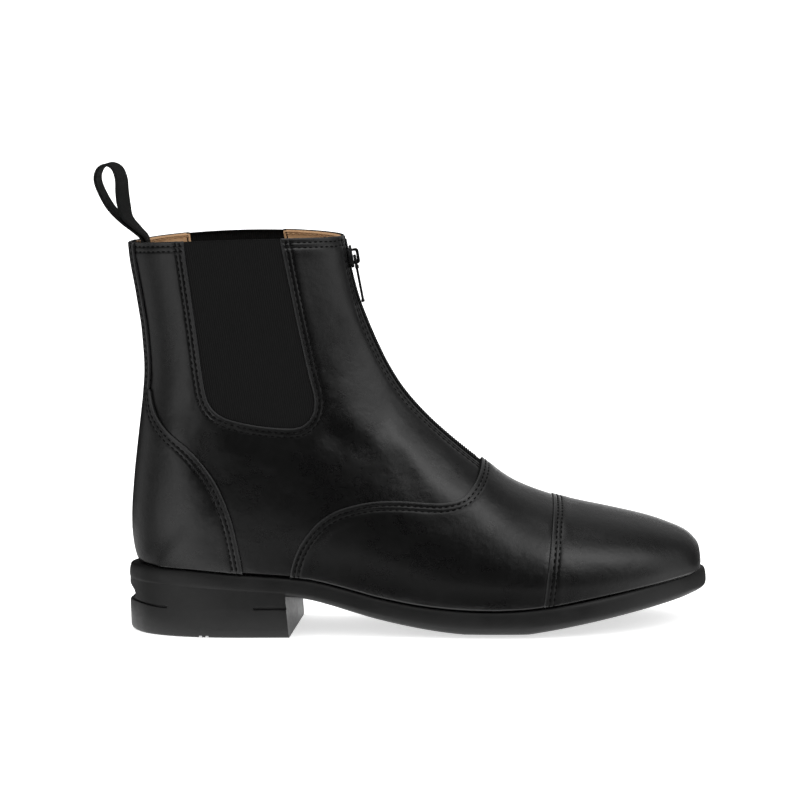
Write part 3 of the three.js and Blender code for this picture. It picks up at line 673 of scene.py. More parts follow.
# One skin laid on the surface at an offset, cut by level functions, with a rolled edge; stitched gives the
# rows sewn beside each edge
def make_patch(name, span, levels, stitched, offset, drop, radius=0.4, step=1.6, rough=1.0, tuck=1.0):
    constraints = []
    seam_points = {}
    ribbons = []
    leather_rows[name] = []
    for key, level in levels.items():
        for line, closed in trace(level, span):
            constraints.append((line, closed))
            if key not in stitched:
                continue
            seam_points.setdefault(key, []).append(dense(base_points(line), closed))
            beside = [row + k for row in stitched[key] for k in groove_ribbons]
            distances = sorted(set(edge_ribbons + beside))
            distances.append(distances[-1] + 0.6)
            found = inward_lines(line, closed, level, distances, span)
            ribbons += [found[d] for d in distances]
            leather_rows[name] += [(key, row, found[row], closed) for row in stitched[key]]

    def kept(q, margin=0.0):
        return least(levels.values(), base_points(q)) > margin

    fixed = np.vstack([line for line, closed in constraints])
    extra = np.zeros((0, 2))
    if ribbons:
        extra = np.vstack(ribbons)
        extra = extra[kept(extra, 0.15) & (nearest(tree_of(fixed), extra) > 0.22)]
    u = np.linspace(span[0], span[1], max(2, int((span[1] - span[0]) / step)) + 1)
    v = np.linspace(0, chart_end, max(2, int(chart_end / step)) + 1)
    grid = np.stack([g.ravel() for g in np.meshgrid(u, v, indexing="ij")], axis=1)
    grid = grid[kept(grid, -2.5 * step)]
    border = (grid[:, 0] <= span[0] + 1e-6) | (grid[:, 0] >= span[1] - 1e-6) | (grid[:, 1] <= 1e-6)
    apart = nearest(tree_of(np.vstack([fixed, extra])), grid)
    grid = grid[(apart > 0.62 * step) | (border & (apart > 0.3))]
    edges = []
    start = 0
    for line, closed in constraints:
        edges += [(start + k, start + k + 1) for k in range(len(line) - 1)]
        if closed:
            edges.append((start + len(line) - 1, start))
        start += len(line)
    made = delaunay_2d_cdt([Vector(p) for p in np.vstack([fixed, extra, grid])], edges, [], 0, 1e-3)
    q = np.array([tuple(p) for p in made[0]])
    faces = np.array([tuple(f) for f in made[2]])
    faces = faces[kept(q[faces].mean(1))]
    used, faces = np.unique(faces, return_inverse=True)
    faces = faces.reshape(-1, 3)
    q = q[used]
    base = base_points(q)
    normal = normals_at(q)
    height = np.full(len(q), float(offset))
    edge = np.full(len(q), far_from_edge)
    for key, seams in seam_points.items():
        rows = stitched[key]
        d = nearest(tree_of(np.vstack(seams)), base)
        if key != "bottom":
            edge = np.minimum(edge, d)
        for row in rows:
            height -= groove_depth * bell(d - row, groove_half_width)
        if rows:
            height += 0.35 * groove_depth * bell(d - (rows[0] + rows[1]) / 2, 0.7)
            height += 0.2 * bell(d - rows[1] - 2.2, 1.6)
    height += skin_height(base, edge, rough, tuck)
    points = base + normal * height[:, None]
    corners = points[faces]
    face_normals = np.cross(corners[:, 1] - corners[:, 0], corners[:, 2] - corners[:, 0])
    if (face_normals * normal[faces[:, 0]]).sum() < 0:
        faces = faces[:, ::-1]
    return roll_edges(points, faces, normal, edge, q, span, radius, drop)


# A rounded edge round every open border of a patch that isn't a border of the chart itself
def roll_edges(points, faces, normal, edge, q, span, radius, drop):
    ways = dict.fromkeys((one, two) for a, b, c in faces for one, two in ((a, b), (b, c), (c, a)))

    def on_border(k):
        a, b = q[k[0]], q[k[1]]
        same_u = any(abs(a[0] - e) < 1e-4 and abs(b[0] - e) < 1e-4 for e in span)
        return same_u or (a[1] < 1e-4 and b[1] < 1e-4)

    ends = np.array([k for k in ways if (k[1], k[0]) not in ways and not on_border(k)])
    way = unit(points[ends[:, 1]] - points[ends[:, 0]])
    out = np.cross(way, (normal[ends[:, 0]] + normal[ends[:, 1]]) / 2)
    total = np.zeros_like(points)
    np.add.at(total, ends[:, 0], out)
    np.add.at(total, ends[:, 1], out)
    rim = np.unique(ends)
    outward = unit(total[rim])
    up = normal[rim]
    place = np.zeros(len(points), int)
    place[rim] = np.arange(len(rim))
    first, second = place[ends[:, 0]], place[ends[:, 1]]
    steps = [(radius * math.sin(turn), radius * (1 - math.cos(turn))) for turn in np.radians((30, 60, 90))]
    steps += [(radius, max(drop, radius + 0.1)), (radius - 0.6, max(drop, radius + 0.1))]
    levels = [points[rim] + outward * aside - up * down for aside, down in steps]
    strips = []
    previous = rim
    for number in range(len(levels)):
        current = len(points) + number * len(rim) + np.arange(len(rim))
        a, b, c, d = previous[first], previous[second], current[second], current[first]
        strips += [np.stack([b, a, d], axis=1), np.stack([b, d, c], axis=1)]
        previous = current
    points = np.vstack([points] + levels)
    faces = np.vstack([faces] + strips)
    # The rolled strip gets an edge distance of zero, so the leather colour paints it light: partly burnished
    # edge wear, partly painted highlight
    return points, faces, np.concatenate([edge, np.zeros(len(rim) * len(levels))])


def placed(name, data):
    made = bpy.data.objects.new(name, data)
    bpy.context.scene.collection.objects.link(made)
    return made


# Object from points in millimetres; the faces of a closed one are turned to point outwards
def mesh_object(name, points, faces, attributes=None, smooth=True, closed=False):
    mesh = bpy.data.meshes.new(name)
    mesh.from_pydata([tuple(p) for p in in_metres(points)], [], [tuple(int(i) for i in f) for f in faces])
    for key, values in (attributes or {}).items():
        made = mesh.attributes.new(key, "FLOAT", "POINT")
        made.data.foreach_set("value", np.asarray(values, np.float32))
    mesh.update()
    work = bmesh.new()
    work.from_mesh(mesh)
    bmesh.ops.remove_doubles(work, verts=work.verts, dist=2e-6)
    if closed:
        bmesh.ops.recalc_face_normals(work, faces=work.faces)
    work.to_mesh(mesh)
    work.free()
    if smooth:
        mesh.shade_smooth()
    return placed(name, mesh)


def dress(piece, body, slot, material, *nodes):
    piece.data.materials.clear()
    piece.data.materials.append(material)
    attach(piece, body)
    if nodes:
        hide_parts(*nodes)
    return piece


# Tube through given centres, added to a list of vertices and a list of faces
def add_tube(verts, faces, centre, up, sideways, high, wide, sides):
    start = len(verts)
    for k in range(len(centre)):
        for s in range(sides):
            a = 2 * math.pi * s / sides
            verts.append(centre[k] + up[k] * high[k] * math.sin(a) + sideways[k] * wide[k] * math.cos(a))
    last = len(verts) - sides
    for ring in range(start, last, sides):
        for s in range(sides):
            n = (s + 1) % sides
            faces.append((ring + s, ring + n, ring + sides + n, ring + sides + s))
    faces.append(tuple(range(start, start + sides))[::-1])
    faces.append(tuple(range(last, last + sides)))


stitch_pitch = 3.05
stitch_length = 2.15
stitch_rings = np.linspace(-1, 1, 7)


# Single sewn stitches along a row on a skin, where keep allows them; face is -1 on the inside of the boot
def add_stitches(verts, faces, row, offset, keep, rough=1.0, tuck=1.0, thick=0.36, face=1):
    distance, q, closed = row[1:]
    points = base_points(q)
    if closed:
        points = np.vstack([points, points[:1]])
        q = np.vstack([q, q[:1]])
    far = distances_along(points)
    count = max(int(far[-1] / stitch_pitch), 1)
    size = thick * np.sqrt(np.maximum(1 - (np.abs(stitch_rings) * 0.97) ** 3, 0.02))
    dip = -0.22 * face * np.abs(stitch_rings) ** 2.2
    for centre in (np.arange(count) + 0.5) * far[-1] / count:
        at = np.clip(centre + stitch_rings * stitch_length / 2, 0, far[-1])
        spots = points_along(q, far, at)
        solid = base_points(spots)
        if not keep(solid[3:4])[0]:
            continue
        n = normals_at(spots)
        lifted = offset + skin_height(solid, distance, rough, tuck) + dip
        across = np.cross(n, unit(np.gradient(solid, axis=0)))
        add_tube(verts, faces, solid + n * lifted[:, None], n, across, 0.8 * size, size, 6)


outer_span = (0.0, around_length / 2)
inner_span = (-around_length / 2, 0.0)
heel_span = (-around_length / 2, around_length / 2)
ridge_span = (0.0, around_length)
back_span = (-80.0, 80.0)


# Node helpers for the materials
class Material:
    def __init__(self, name):
        self.material = bpy.data.materials.new(name)
        self.material.use_nodes = True
        self.nodes = self.material.node_tree.nodes
        self.links = self.material.node_tree.links
        self.shader = self.nodes["Principled BSDF"]
        self.place = self.add("ShaderNodeTexCoord").outputs["Object"]

    def add(self, kind, **settings):
        node = self.nodes.new(kind)
        for key, value in settings.items():
            if hasattr(node, key):
                setattr(node, key, value)
            else:
                node.inputs[key.replace("_", " ")].default_value = value
        return node

    def link(self, source, target):
        self.links.new(source, target)

    def set(self, **values):
        for key, value in values.items():
            self.shader.inputs[key.replace("_", " ")].default_value = value

    def noise(self, scale, detail=3.0, roughness=0.55):
        node = self.add("ShaderNodeTexNoise", Scale=scale, Detail=detail, Roughness=roughness)
        self.link(self.place, node.inputs["Vector"])
        return node.outputs["Fac"]

    def cells(self, scale):
        node = self.add("ShaderNodeTexVoronoi", feature="DISTANCE_TO_EDGE", Scale=scale)
        self.link(self.place, node.inputs["Vector"])
        return node.outputs["Distance"]

    def vector_maths(self, kind, source, other=None):
        node = self.add("ShaderNodeVectorMath", operation=kind)
        self.link(source, node.inputs[0])
        if other is not None:
            node.inputs[1].default_value = other
        return node.outputs["Vector" if kind in ("NORMALIZE", "MULTIPLY") else "Value"]

    def ranged(self, source, low, high, start=0.3, end=0.7):
        node = self.add("ShaderNodeMapRange", clamp=True)
        for key, value in (("From Min", start), ("From Max", end), ("To Min", low), ("To Max", high)):
            node.inputs[key].default_value = value
        self.link(source, node.inputs["Value"])
        return node.outputs["Result"]

    def maths(self, kind, a, b=None):
        node = self.add("ShaderNodeMath", operation=kind)
        for socket, value in zip(node.inputs, (a, b)):
            if value is None:
                continue
            if isinstance(value, (int, float)):
                socket.default_value = value
            else:
                self.link(value, socket)
        return node.outputs["Value"]

    def colours(self, source, low, high):
        node = self.add("ShaderNodeValToRGB")
        node.color_ramp.elements[0].color = (*low, 1)
        node.color_ramp.elements[1].color = (*high, 1)
        self.link(source, node.inputs["Fac"])
        return node.outputs["Color"]

    def attribute(self, name):
        return self.add("ShaderNodeAttribute", attribute_name=name).outputs["Fac"]

    def parts(self):
        node = self.add("ShaderNodeSeparateXYZ")
        self.link(self.place, node.inputs["Vector"])
        return node.outputs

    def cover(self, colour, roughness):
        self.link(colour, self.shader.inputs["Base Color"])
        self.link(roughness, self.shader.inputs["Roughness"])

    def bumps(self, *layers):
        before = None
        for source, strength, distance in layers:
            node = self.add("ShaderNodeBump", Strength=strength, Distance=distance)
            self.link(source, node.inputs["Height"])
            if before is not None:
                self.link(before, node.inputs["Normal"])
            before = node.outputs["Normal"]
        self.link(before, self.shader.inputs["Normal"])


def grey(value):
    return (value, value, value)


def leather_material():
    m = Material("black leather")
    broad = m.noise(34, 4, 0.6)
    patches = m.noise(160, 4, 0.6)
    grain = m.cells(1500)
    pores = m.noise(2600, 2, 0.6)
    fine = m.noise(700, 3, 0.6)
    # Lighter colour near cut and sewn edges and all over the rolled edges: partly burnished edge wear, partly
    # a painted highlight along the edges
    edge = m.ranged(m.attribute("edge"), 0.55, 0.0, 0.0, 1.1)
    tone = m.maths("ADD", m.maths("MULTIPLY", broad, 0.6), m.maths("MULTIPLY", patches, 0.4))
    tone = m.maths("ADD", m.ranged(tone, 0.0, 0.7, 0.35, 0.65), edge)
    mixed = m.add("ShaderNodeMix", data_type="RGBA")
    m.link(m.ranged(m.attribute("edge"), 1.0, 0.0, 0.0, 0.7), mixed.inputs["Factor"])
    m.link(m.colours(tone, (0.0007, 0.0007, 0.00075), (0.0026, 0.0026, 0.0027)), mixed.inputs[6])
    # Painted highlight colour of the edges, also standing for burnished edge wear
    mixed.inputs[7].default_value = (0.016, 0.016, 0.0162, 1)
    rough = m.maths("ADD", m.ranged(broad, 0.25, 0.31), m.ranged(patches, -0.03, 0.04, 0.1, 0.9))
    rough = m.maths("ADD", rough, m.ranged(grain, 0.05, 0.0, 0.0, 0.12))
    m.cover(mixed.outputs[2], rough)
    m.bumps(
        (broad, 0.7, 0.0016),
        (patches, 0.25, 0.0003),
        (fine, 0.15, 0.00008),
        (m.ranged(grain, 0.0, 1.0, 0.0, 0.16), 0.3, 0.00008),
        (pores, 0.25, 0.00004),
    )
    m.set(Specular_IOR_Level=0.5, Coat_Weight=0.3, Coat_Roughness=0.16)
    return m.material


def rubber_material():
    m = Material("moulded rubber")
    broad = m.noise(60, 3)
    fine = m.noise(1500, 3, 0.65)
    specks = m.noise(420, 2)
    rough = m.maths("ADD", m.ranged(broad, 0.4, 0.48), m.ranged(specks, -0.04, 0.05))
    m.cover(m.colours(m.ranged(broad, 0.2, 0.8), grey(0.0045), grey(0.009)), rough)
    m.bumps((specks, 0.2, 0.00015), (fine, 0.3, 0.00008))
    m.set(Specular_IOR_Level=0.4)
    return m.material


# A wave of a given period along a measure
def wave(m, measure, period):
    return m.maths("SINE", m.maths("MULTIPLY", measure, 2 * math.pi / period))


def elastic_material():
    m = Material("ribbed elastic")
    apart = m.parts()
    across = m.maths("ADD", apart["X"], m.maths("MULTIPLY", apart["Z"], 0.155))
    ribs = wave(m, across, 0.00105)
    crossed = m.maths("MULTIPLY", ribs, wave(m, apart["Z"], 0.0007))
    knit = m.maths("ADD", m.maths("MULTIPLY", ribs, 0.7), m.maths("MULTIPLY", crossed, 0.3))
    uneven = m.noise(900, 3, 0.7)
    weave = m.ranged(m.maths("ADD", knit, m.maths("MULTIPLY", uneven, 0.6)), 0.0, 1.0, -0.7, 1.2)
    m.cover(m.colours(weave, grey(0.0012), grey(0.006)), m.ranged(uneven, 0.78, 0.92))
    m.bumps((m.noise(70, 2), 0.2, 0.0008), (weave, 0.55, 0.00025))
    m.set(Specular_IOR_Level=0.2)
    return m.material


def lining_material():
    m = Material("tan lining")
    broad = m.noise(50, 3)
    fine = m.noise(1800, 3, 0.7)
    tone = m.maths("ADD", m.ranged(broad, 0.0, 0.7), m.ranged(fine, 0.0, 0.3))
    m.cover(m.colours(tone, (0.42, 0.24, 0.115), (0.62, 0.385, 0.205)), m.ranged(broad, 0.6, 0.75))
    m.bumps((broad, 0.3, 0.0006), (fine, 0.35, 0.0001))
    m.set(Specular_IOR_Level=0.35, Sheen_Weight=0.1)
    return m.material


def thread_material(name, colour):
    m = Material(name)
    twist = m.noise(2400, 2, 0.5)
    dark, light = (tuple(c * k for c in colour) for k in (0.6, 1.4))
    m.cover(m.colours(twist, dark, light), m.ranged(twist, 0.7, 0.9))
    m.bumps((twist, 0.4, 0.0001))
    m.set(Specular_IOR_Level=0.15)
    return m.material


def webbing_material():
    m = Material("woven tape")
    weave = m.maths("MULTIPLY", wave(m, m.attribute("along"), 1.05), wave(m, m.attribute("across"), 1.25))
    fuzz = m.noise(1600, 3, 0.7)
    mixed = m.ranged(m.maths("ADD", weave, fuzz), 0.0, 1.0, -0.6, 1.6)
    m.cover(m.colours(mixed, (0.002, 0.0022, 0.0022), (0.0075, 0.0082, 0.008)), m.ranged(fuzz, 0.7, 0.9))
    m.bumps((mixed, 0.7, 0.0003))
    m.set(Specular_IOR_Level=0.2)
    return m.material


def metal_material():
    m = Material("dark metal")
    worn = m.noise(240, 4, 0.6)
    fine = m.noise(3000, 2, 0.6)
    m.cover(m.colours(worn, (0.012, 0.012, 0.0125), (0.05, 0.05, 0.051)), m.ranged(worn, 0.24, 0.4))
    m.bumps((fine, 0.15, 0.00005))
    m.set(Metallic=0.85)
    return m.material


def nylon_material():
    m = Material("black nylon")
    fine = m.noise(2200, 2, 0.6)
    broad = m.noise(200, 2)
    m.cover(m.colours(broad, (0.003, 0.003, 0.0031), (0.009, 0.009, 0.0092)), m.ranged(broad, 0.38, 0.55))
    m.bumps((fine, 0.3, 0.00008))
    return m.material


leather = leather_material()
rubber = rubber_material()
elastic = elastic_material()
lining = lining_material()
black_thread = thread_material("black thread", grey(0.0016))
tan_thread = thread_material("tan thread", (0.4, 0.24, 0.13))
webbing = webbing_material()
metal = metal_material()
nylon = nylon_material()

body = "boot"
pull_body = "pull_tab"
backstay_low = heel_height + backstay_from * collar_height


# Collar cut of a skin that ends a given distance under the collar line
def under_collar(distance):
    return lambda p: collar_level(p) - distance


def counter_area_level(p):
    strip = np.minimum(backstay_half_width - np.abs(p[:, 1]), p[:, 2] - backstay_low)
    strip = np.where(p[:, 0] < shaft_middle, strip, -10)
    return np.maximum(counter_level(p), strip) - 0.4


# Leather pieces: piece, node, span, offset, turned edge, levels, stitch rows in millimetres from each edge
one_layer = 1.5
two_layers = 2.0
leathers = {
    "upper": ("upper_leather", "upper", heel_span, 0.0, 1.3, {
        "gusset": lambda p: gusset_level(p) - 0.35,
        "collar": under_collar(0.45),
        "slit": lambda p: slit_level(p) - 0.3,
        "bottom": bottom_level,
    }, {"gusset": [1.7, 3.8], "slit": [1.7, 3.8], "collar": [1.7, 4.2], "bottom": []}),
    "vamp": ("vamp_leather", "vamp", ridge_span, one_layer, one_layer, {
        "vamp": lambda p: vamp_level(p) - 0.4,
        "cap": lambda p: -cap_level(p) - 0.3,
        "bottom": bottom_level,
    }, {"vamp": [1.8, 3.9], "bottom": []}),
    "cap": ("toe_cap_leather", "toe_cap", ridge_span, two_layers, two_layers, {
        "cap": lambda p: cap_level(p) - 0.4,
        "bottom": bottom_level,
    }, {"cap": [2.0, 4.1], "bottom": []}),
    "counter": ("counter_leather", "counter", back_span, one_layer, one_layer, {
        "counter": counter_area_level,
        "collar": under_collar(0.45),
        "bottom": bottom_level,
    }, {"counter": [2.1, 4.2], "bottom": []}),
}
for name, (piece_name, node, span, offset, drop, levels, rows) in leathers.items():
    finer = {"radius": 0.45, "step": 1.7} if name == "upper" else {}
    points, faces, edge = make_patch(name, span, levels, rows, offset, drop, **finer)
    dress(mesh_object(piece_name, points, faces, {"edge": edge}), body, "leather_black", leather, node)

# Elastic in the two side openings
elastic_levels = {"gusset": lambda p: -gusset_level(p) + 1.5, "collar": under_collar(0.8)}
for label, span in (("lateral", outer_span), ("medial", inner_span)):
    points, faces, edge = make_patch(
        "gusset", span, elastic_levels, {}, -0.75, elastic_thickness, radius=0.5, step=1.5, rough=0.5, tuck=0
    )
    piece = mesh_object("elastic_" + label, points, faces, {"edge": edge})
    dress(piece, body, "elastic_black", elastic, "gusset_" + label)

# Stitching, each row ending where another edge of its piece comes near
for name, (piece_name, node, span, offset, drop, levels, rows) in leathers.items():
    verts = []
    faces = []
    for row in leather_rows[name]:
        others = [level for key, level in levels.items() if key != row[0]]
        add_stitches(verts, faces, row, offset - groove_depth / 2, lambda p: least(others, p) > 0.6)
    dress(mesh_object("stitches_" + name, verts, faces), body, "leather_black", black_thread)

# Lining: a skin inside the leather and its inner face
lining_levels = {
    "collar": under_collar(0.75),
    "slit": lambda p: slit_level(p) - 0.6,
    "bottom": lambda p: bottom_level(p) - 2.5,
    "gusset": lambda p: gusset_level(p) - 0.5,
}
(points, faces, edge), (back_points, back_faces, back_edge) = (
    make_patch("lining", heel_span, lining_levels, {}, offset, drop, radius, step=2.4, rough=0.4, tuck=0)
    for offset, drop, radius in ((-1.35, 0.85, 0.35), (-2.2, 0.4, 0.0))
)
skin = mesh_object(
    "lining_skin",
    np.vstack([points, back_points]),
    np.vstack([faces, back_faces[:, ::-1] + len(points)]),
    {"edge": np.concatenate([edge, back_edge])},
)
dress(skin, body, "lining_tan", lining)
verts = []
faces = []
for row in leather_rows["upper"]:
    if row[0] == "collar" and row[1] < 2:
        add_stitches(verts, faces, row, -2.3, lambda p: least((gusset_level, slit_level), p) > 1.5,
                     rough=0.4, tuck=0, thick=0.42, face=-1)
dress(mesh_object("stitches_lining", verts, faces), body, "lining_tan", tan_thread)


# Closed loft through loops of equal count, its ends closed by pairing points from both ends of the loop
def loft_faces(count, size):
    faces = []
    for i in range(count - 1):
        for j in range(size):
            k = (j + 1) % size
            faces.append((i * size + j, i * size + k, (i + 1) * size + k, (i + 1) * size + j))
    for first, flip in ((0, True), ((count - 1) * size, False)):
        for j in range(size // 2 - 1):
            ring = (first + j, first + j + 1, first + size - 2 - j, first + size - 1 - j)
            faces.append(ring[::-1] if flip else ring)
    return faces


def loft(name, rings, attributes=None):
    faces = loft_faces(len(rings), len(rings[0]))
    return mesh_object(name, np.vstack(rings), faces, attributes, closed=True)


def applied(piece):
    graph = bpy.context.evaluated_depsgraph_get()
    made = bpy.data.meshes.new_from_object(piece.evaluated_get(graph))
    piece.modifiers.clear()
    piece.data = made
    return piece


def combine(piece, other, operation):
    modifier = piece.modifiers.new("cut", "BOOLEAN")
    modifier.operation = operation
    modifier.solver = "EXACT"
    modifier.object = other
    applied(piece)
    bpy.data.objects.remove(other)
    return piece


def block(name, x0, x1, y0, y1, z0, z1):
    corners = [(x, y, z) for x in (x0, x1) for y in (y0, y1) for z in (z0, z1)]
    faces = [(0, 1, 3, 2), (4, 6, 7, 5), (0, 4, 5, 1), (2, 3, 7, 6), (0, 2, 6, 4), (1, 5, 7, 3)]
    return mesh_object(name, np.array(corners, float), faces, smooth=False, closed=True)


def creased(piece, degrees):
    piece.data.shade_smooth()
    piece.data.set_sharp_from_angle(angle=math.radians(degrees))


# Sole plate
share_rows = np.concatenate([np.linspace(0, 4, 17), np.linspace(4.2, 7, 12)])
plate_ups = column(plate_edge, 0, share_rows)
plate_insets = column(plate_edge, 1, share_rows)
rim_rows = (np.linspace(0, outline_last, 171), np.linspace(0, 1.2, 24), np.linspace(15.8, outline_last, 24))
fine_rows = np.unique(np.concatenate(rim_rows))
sides = np.concatenate([-np.ones(len(fine_rows)), np.ones(len(fine_rows))])
loop_rows = np.concatenate([fine_rows, fine_rows[::-1]])
rings = []
for up, inset in zip(plate_ups, plate_insets):
    xy = outline_points(loop_rows, sides, inset)
    bottom = sole_bottom(xy[:, 0])
    z = bottom + up * (sole_top(xy[:, 0]) - bottom)
    relief = shank_relief * (1 - smoothstep(xy[:, 0], tread_start - 0.8, tread_start + 0.4))
    z = np.maximum(z, bottom + relief)
    rings.append(np.column_stack([xy, z]))
plate = loft("outsole_rubber", rings)

# Heel block, with the notch of the spur rest at its back and the engraved line round it
heel_rows = (np.linspace(0, 1.2, 22), np.linspace(1.2, 6.6, 64), np.linspace(4.55, 4.9, 8))
heel_rows = np.unique(np.concatenate(heel_rows))
heel_sides = np.concatenate([-np.ones(len(heel_rows)), np.ones(len(heel_rows) - 1)])
heel_loop = np.concatenate([heel_rows[::-1], heel_rows[1:]])
low_line = engraved_height - engraved_width / 2
high_line = engraved_height + engraved_width / 2
heights = [0, 0.4, 0.9, 1.6, 2.4, 4, 6, 8, 10, 12, 13.2]
heights += [low_line - 0.35, low_line - 0.12, low_line + 0.1]
heights += [engraved_height, high_line - 0.1, high_line + 0.12]
heights += list(np.linspace(15.6, 24.2, 18)) + [25.5, 27, 28.4]
notch_z = [spur_rest_height + k * spur_rest_depth * 1.35 for k in (-0.85, -0.55, -0.4, 0, 0.45, 0.8, 1.05)]
notch_x = [spur_rest_depth * k for k in (0, 0.45, 0.8, 1, 0.75, 0.3, 0)]
straight_up_to = 24.5
rear_run_end = 0.065
front_run_start = 0.216
rear_climb = 1.5
rings = []
for height in heights:
    share = height / (heel_height + 1.5 - heel_sunk)
    inset = float(np.interp(share, [row[0] for row in heel_edge], [row[1] for row in heel_edge]))
    xy = outline_points(heel_loop, heel_sides, inset)
    along = xy[:, 0] / sole_length
    runs = 1 - smoothstep(along, rear_run_end, rear_run_end + 0.002)
    runs += smoothstep(along, front_run_start, front_run_start + 0.002)
    cut = smoothstep(height, low_line - 0.14, low_line + 0.08)
    cut *= 1 - smoothstep(height, high_line - 0.08, high_line + 0.14)
    deeper = outline_points(heel_loop, heel_sides, inset + engraved_depth * 1.5)
    xy = xy + (deeper - xy) * (runs * cut)[:, None]
    z = np.full(len(xy), height)
    if height > straight_up_to:
        z = height * (sole_top(np.minimum(xy[:, 0], heel_length)) - heel_sunk) / (sole_top(0.0) - heel_sunk)
    z = z + rear_climb * (1 - smoothstep(along, 0.0, 0.062)) * bell(height - engraved_height, 2.2)
    xy[:, 0] = np.maximum(xy[:, 0], np.interp(z, notch_z, notch_x))
    rings.append(np.column_stack([xy, z]))
heel = loft("heel_block", rings)
breast_normal = Vector((1, -breast_skew / (ball_width * 0.64), breast_lean / heel_height)).normalized()
breast_at = Vector(in_metres([(heel_length, 0, 0)])[0])
work = bmesh.new()
work.from_mesh(heel.data)
everything = work.verts[:] + work.edges[:] + work.faces[:]
cut = bmesh.ops.bisect_plane(
    work, geom=everything, plane_co=breast_at, plane_no=breast_normal, clear_outer=True
)
cut_edges = [e for e in cut["geom_cut"] if isinstance(e, bmesh.types.BMEdge)]
bmesh.ops.contextual_create(work, geom=cut_edges)
bmesh.ops.recalc_face_normals(work, faces=work.faces)
work.to_mesh(heel.data)
work.free()
combine(plate, heel, "UNION")
for share in (0.1225, 0.1337):
    x = share * sole_length
    groove = block("groove", x, x + tread_width, -ball_width, ball_width, -3, tread_depth)
    combine(plate, groove, "DIFFERENCE")
creased(plate, 38)
dress(plate, body, "rubber_black", rubber, "outsole")
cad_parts["insole"].data.materials.clear()
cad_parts["insole"].data.materials.append(lining)


# Front ridge: chart position for a section row and a distance y beside the ridge
def front_points(row, y, offset):
    outer, inner, ridge, full = (column(sections, k, row) for k in (4, 5, 6, 8))
    breadth = breadth_at(row)
    widest = np.abs(np.where(y < ridge * breadth, outer, inner) * breadth - ridge * breadth)
    share = np.clip(np.abs(y - ridge * breadth) / widest, 0, 1)
    angle = np.arccos(share ** (full / 2))
    climb = belly_turn + (1 - belly_turn) * angle / (math.pi / 2)
    turn = np.where(y < ridge * breadth, climb / 2, 1 - climb / 2)
    q = np.column_stack([turn * around_length, np.interp(row, whole_rows, row_marks)])
    normal = normals_at(q)
    return base_points(q) + normal * np.reshape(offset, (-1, 1)), normal


ridge_rows = np.linspace(8.5, len(sections) - 1, 1200)
ridge_points = front_points(ridge_rows, np.zeros(1200), np.zeros(1200))[0]
ridge_far = distances_along(ridge_points)
top_far = float(np.interp(0, ridge_points[:, 2] - collar_z(ridge_points[:, 0]), ridge_far))
tape_start = float(np.interp(-slit_end + gap, -ridge_points[:, 0], ridge_far))
coil_start = float(np.interp(-0.6 * sole_length, -ridge_points[:, 0], ridge_far))


# Zip tape, with a ridge along its middle that closes the view through the coil
tape_count = 13
core_height = 0.62
core_half_width = 1.9


def tape_ring(far):
    row = np.full(tape_count, float(np.interp(far, ridge_far, ridge_rows)))
    y = np.linspace(-1, 1, tape_count) * (slit_half_width - 0.2)
    core = core_height * np.exp(-((y / core_half_width) ** 4))
    top = front_points(row, y, core - tape_recess - 0.12 * (np.abs(y) > 3.6))[0]
    under = front_points(row, y[::-1], np.full(tape_count, -tape_recess - 1.0))[0]
    return np.vstack([top, under])


tape_places = np.linspace(tape_start, top_far - 0.5, 150)
half_across = np.linspace(-4, 4, tape_count)
along = np.repeat(tape_places, 2 * tape_count)
across = np.tile(np.concatenate([half_across, half_across[::-1]]), len(tape_places))
tape = loft("zip_tape", [tape_ring(far) for far in tape_places], {"along": along, "across": across})
tape.data.set_sharp_from_angle(angle=math.radians(50))
dress(tape, body, "nylon_black", webbing, "zip_chain")

# Coil: arched loops of nylon from both sides, a little past each other in the middle
verts = []
faces = []
coil_pitch = 1.3
coil_foot = 2.5
coil_reach = 3.1
coil_share = np.linspace(0, 1, 8)
coil_lift = -0.3 + 0.62 * np.sin(np.pi * (0.08 + 0.8 * coil_share)) ** 0.5
coil_size = 0.37 * np.sqrt(np.maximum(1 - np.abs(2 * coil_share - 1) ** 6 * 0.9, 0.05))
side = -1
far = coil_start
while far < top_far - 2.5:
    row = np.interp(far + 0.35 * coil_share - 0.2, ridge_far, ridge_rows)
    centre, normal = front_points(row, side * (coil_foot - coil_reach * coil_share), coil_lift)
    sideways = np.cross(normal, unit(np.gradient(centre, axis=0)))
    add_tube(verts, faces, centre, normal, sideways, coil_size, coil_size * 1.25, 8)
    far += coil_pitch / 2
    side = -side
dress(mesh_object("zip_coil", verts, faces, closed=True), body, "nylon_black", nylon)


# Frame of the front ridge at a section row: point, outward direction and downward direction
def ridge_frame(row, offset):
    above, point, beneath = surface(row + np.array([0.05, 0, -0.05]), np.full(3, 0.5))
    down = (beneath - above) / np.linalg.norm(beneath - above)
    out = np.array([-down[2], 0, down[0]])
    return point + out * offset, out, down


slider_row = 23.35
rest_row = 19.3
seat, seat_out, seat_down = ridge_frame(slider_row, coil_height + gap)
pivot = seat + seat_out * (slider_plate + bail_room / 2)


def bevelled(piece, width):
    modifier = piece.modifiers.new("bevel", "BEVEL")
    modifier.width = width / 1000
    modifier.segments = 3
    modifier.limit_method = "ANGLE"
    modifier.angle_limit = math.radians(40)
    applied(piece)
    creased(piece, 50)
    return piece


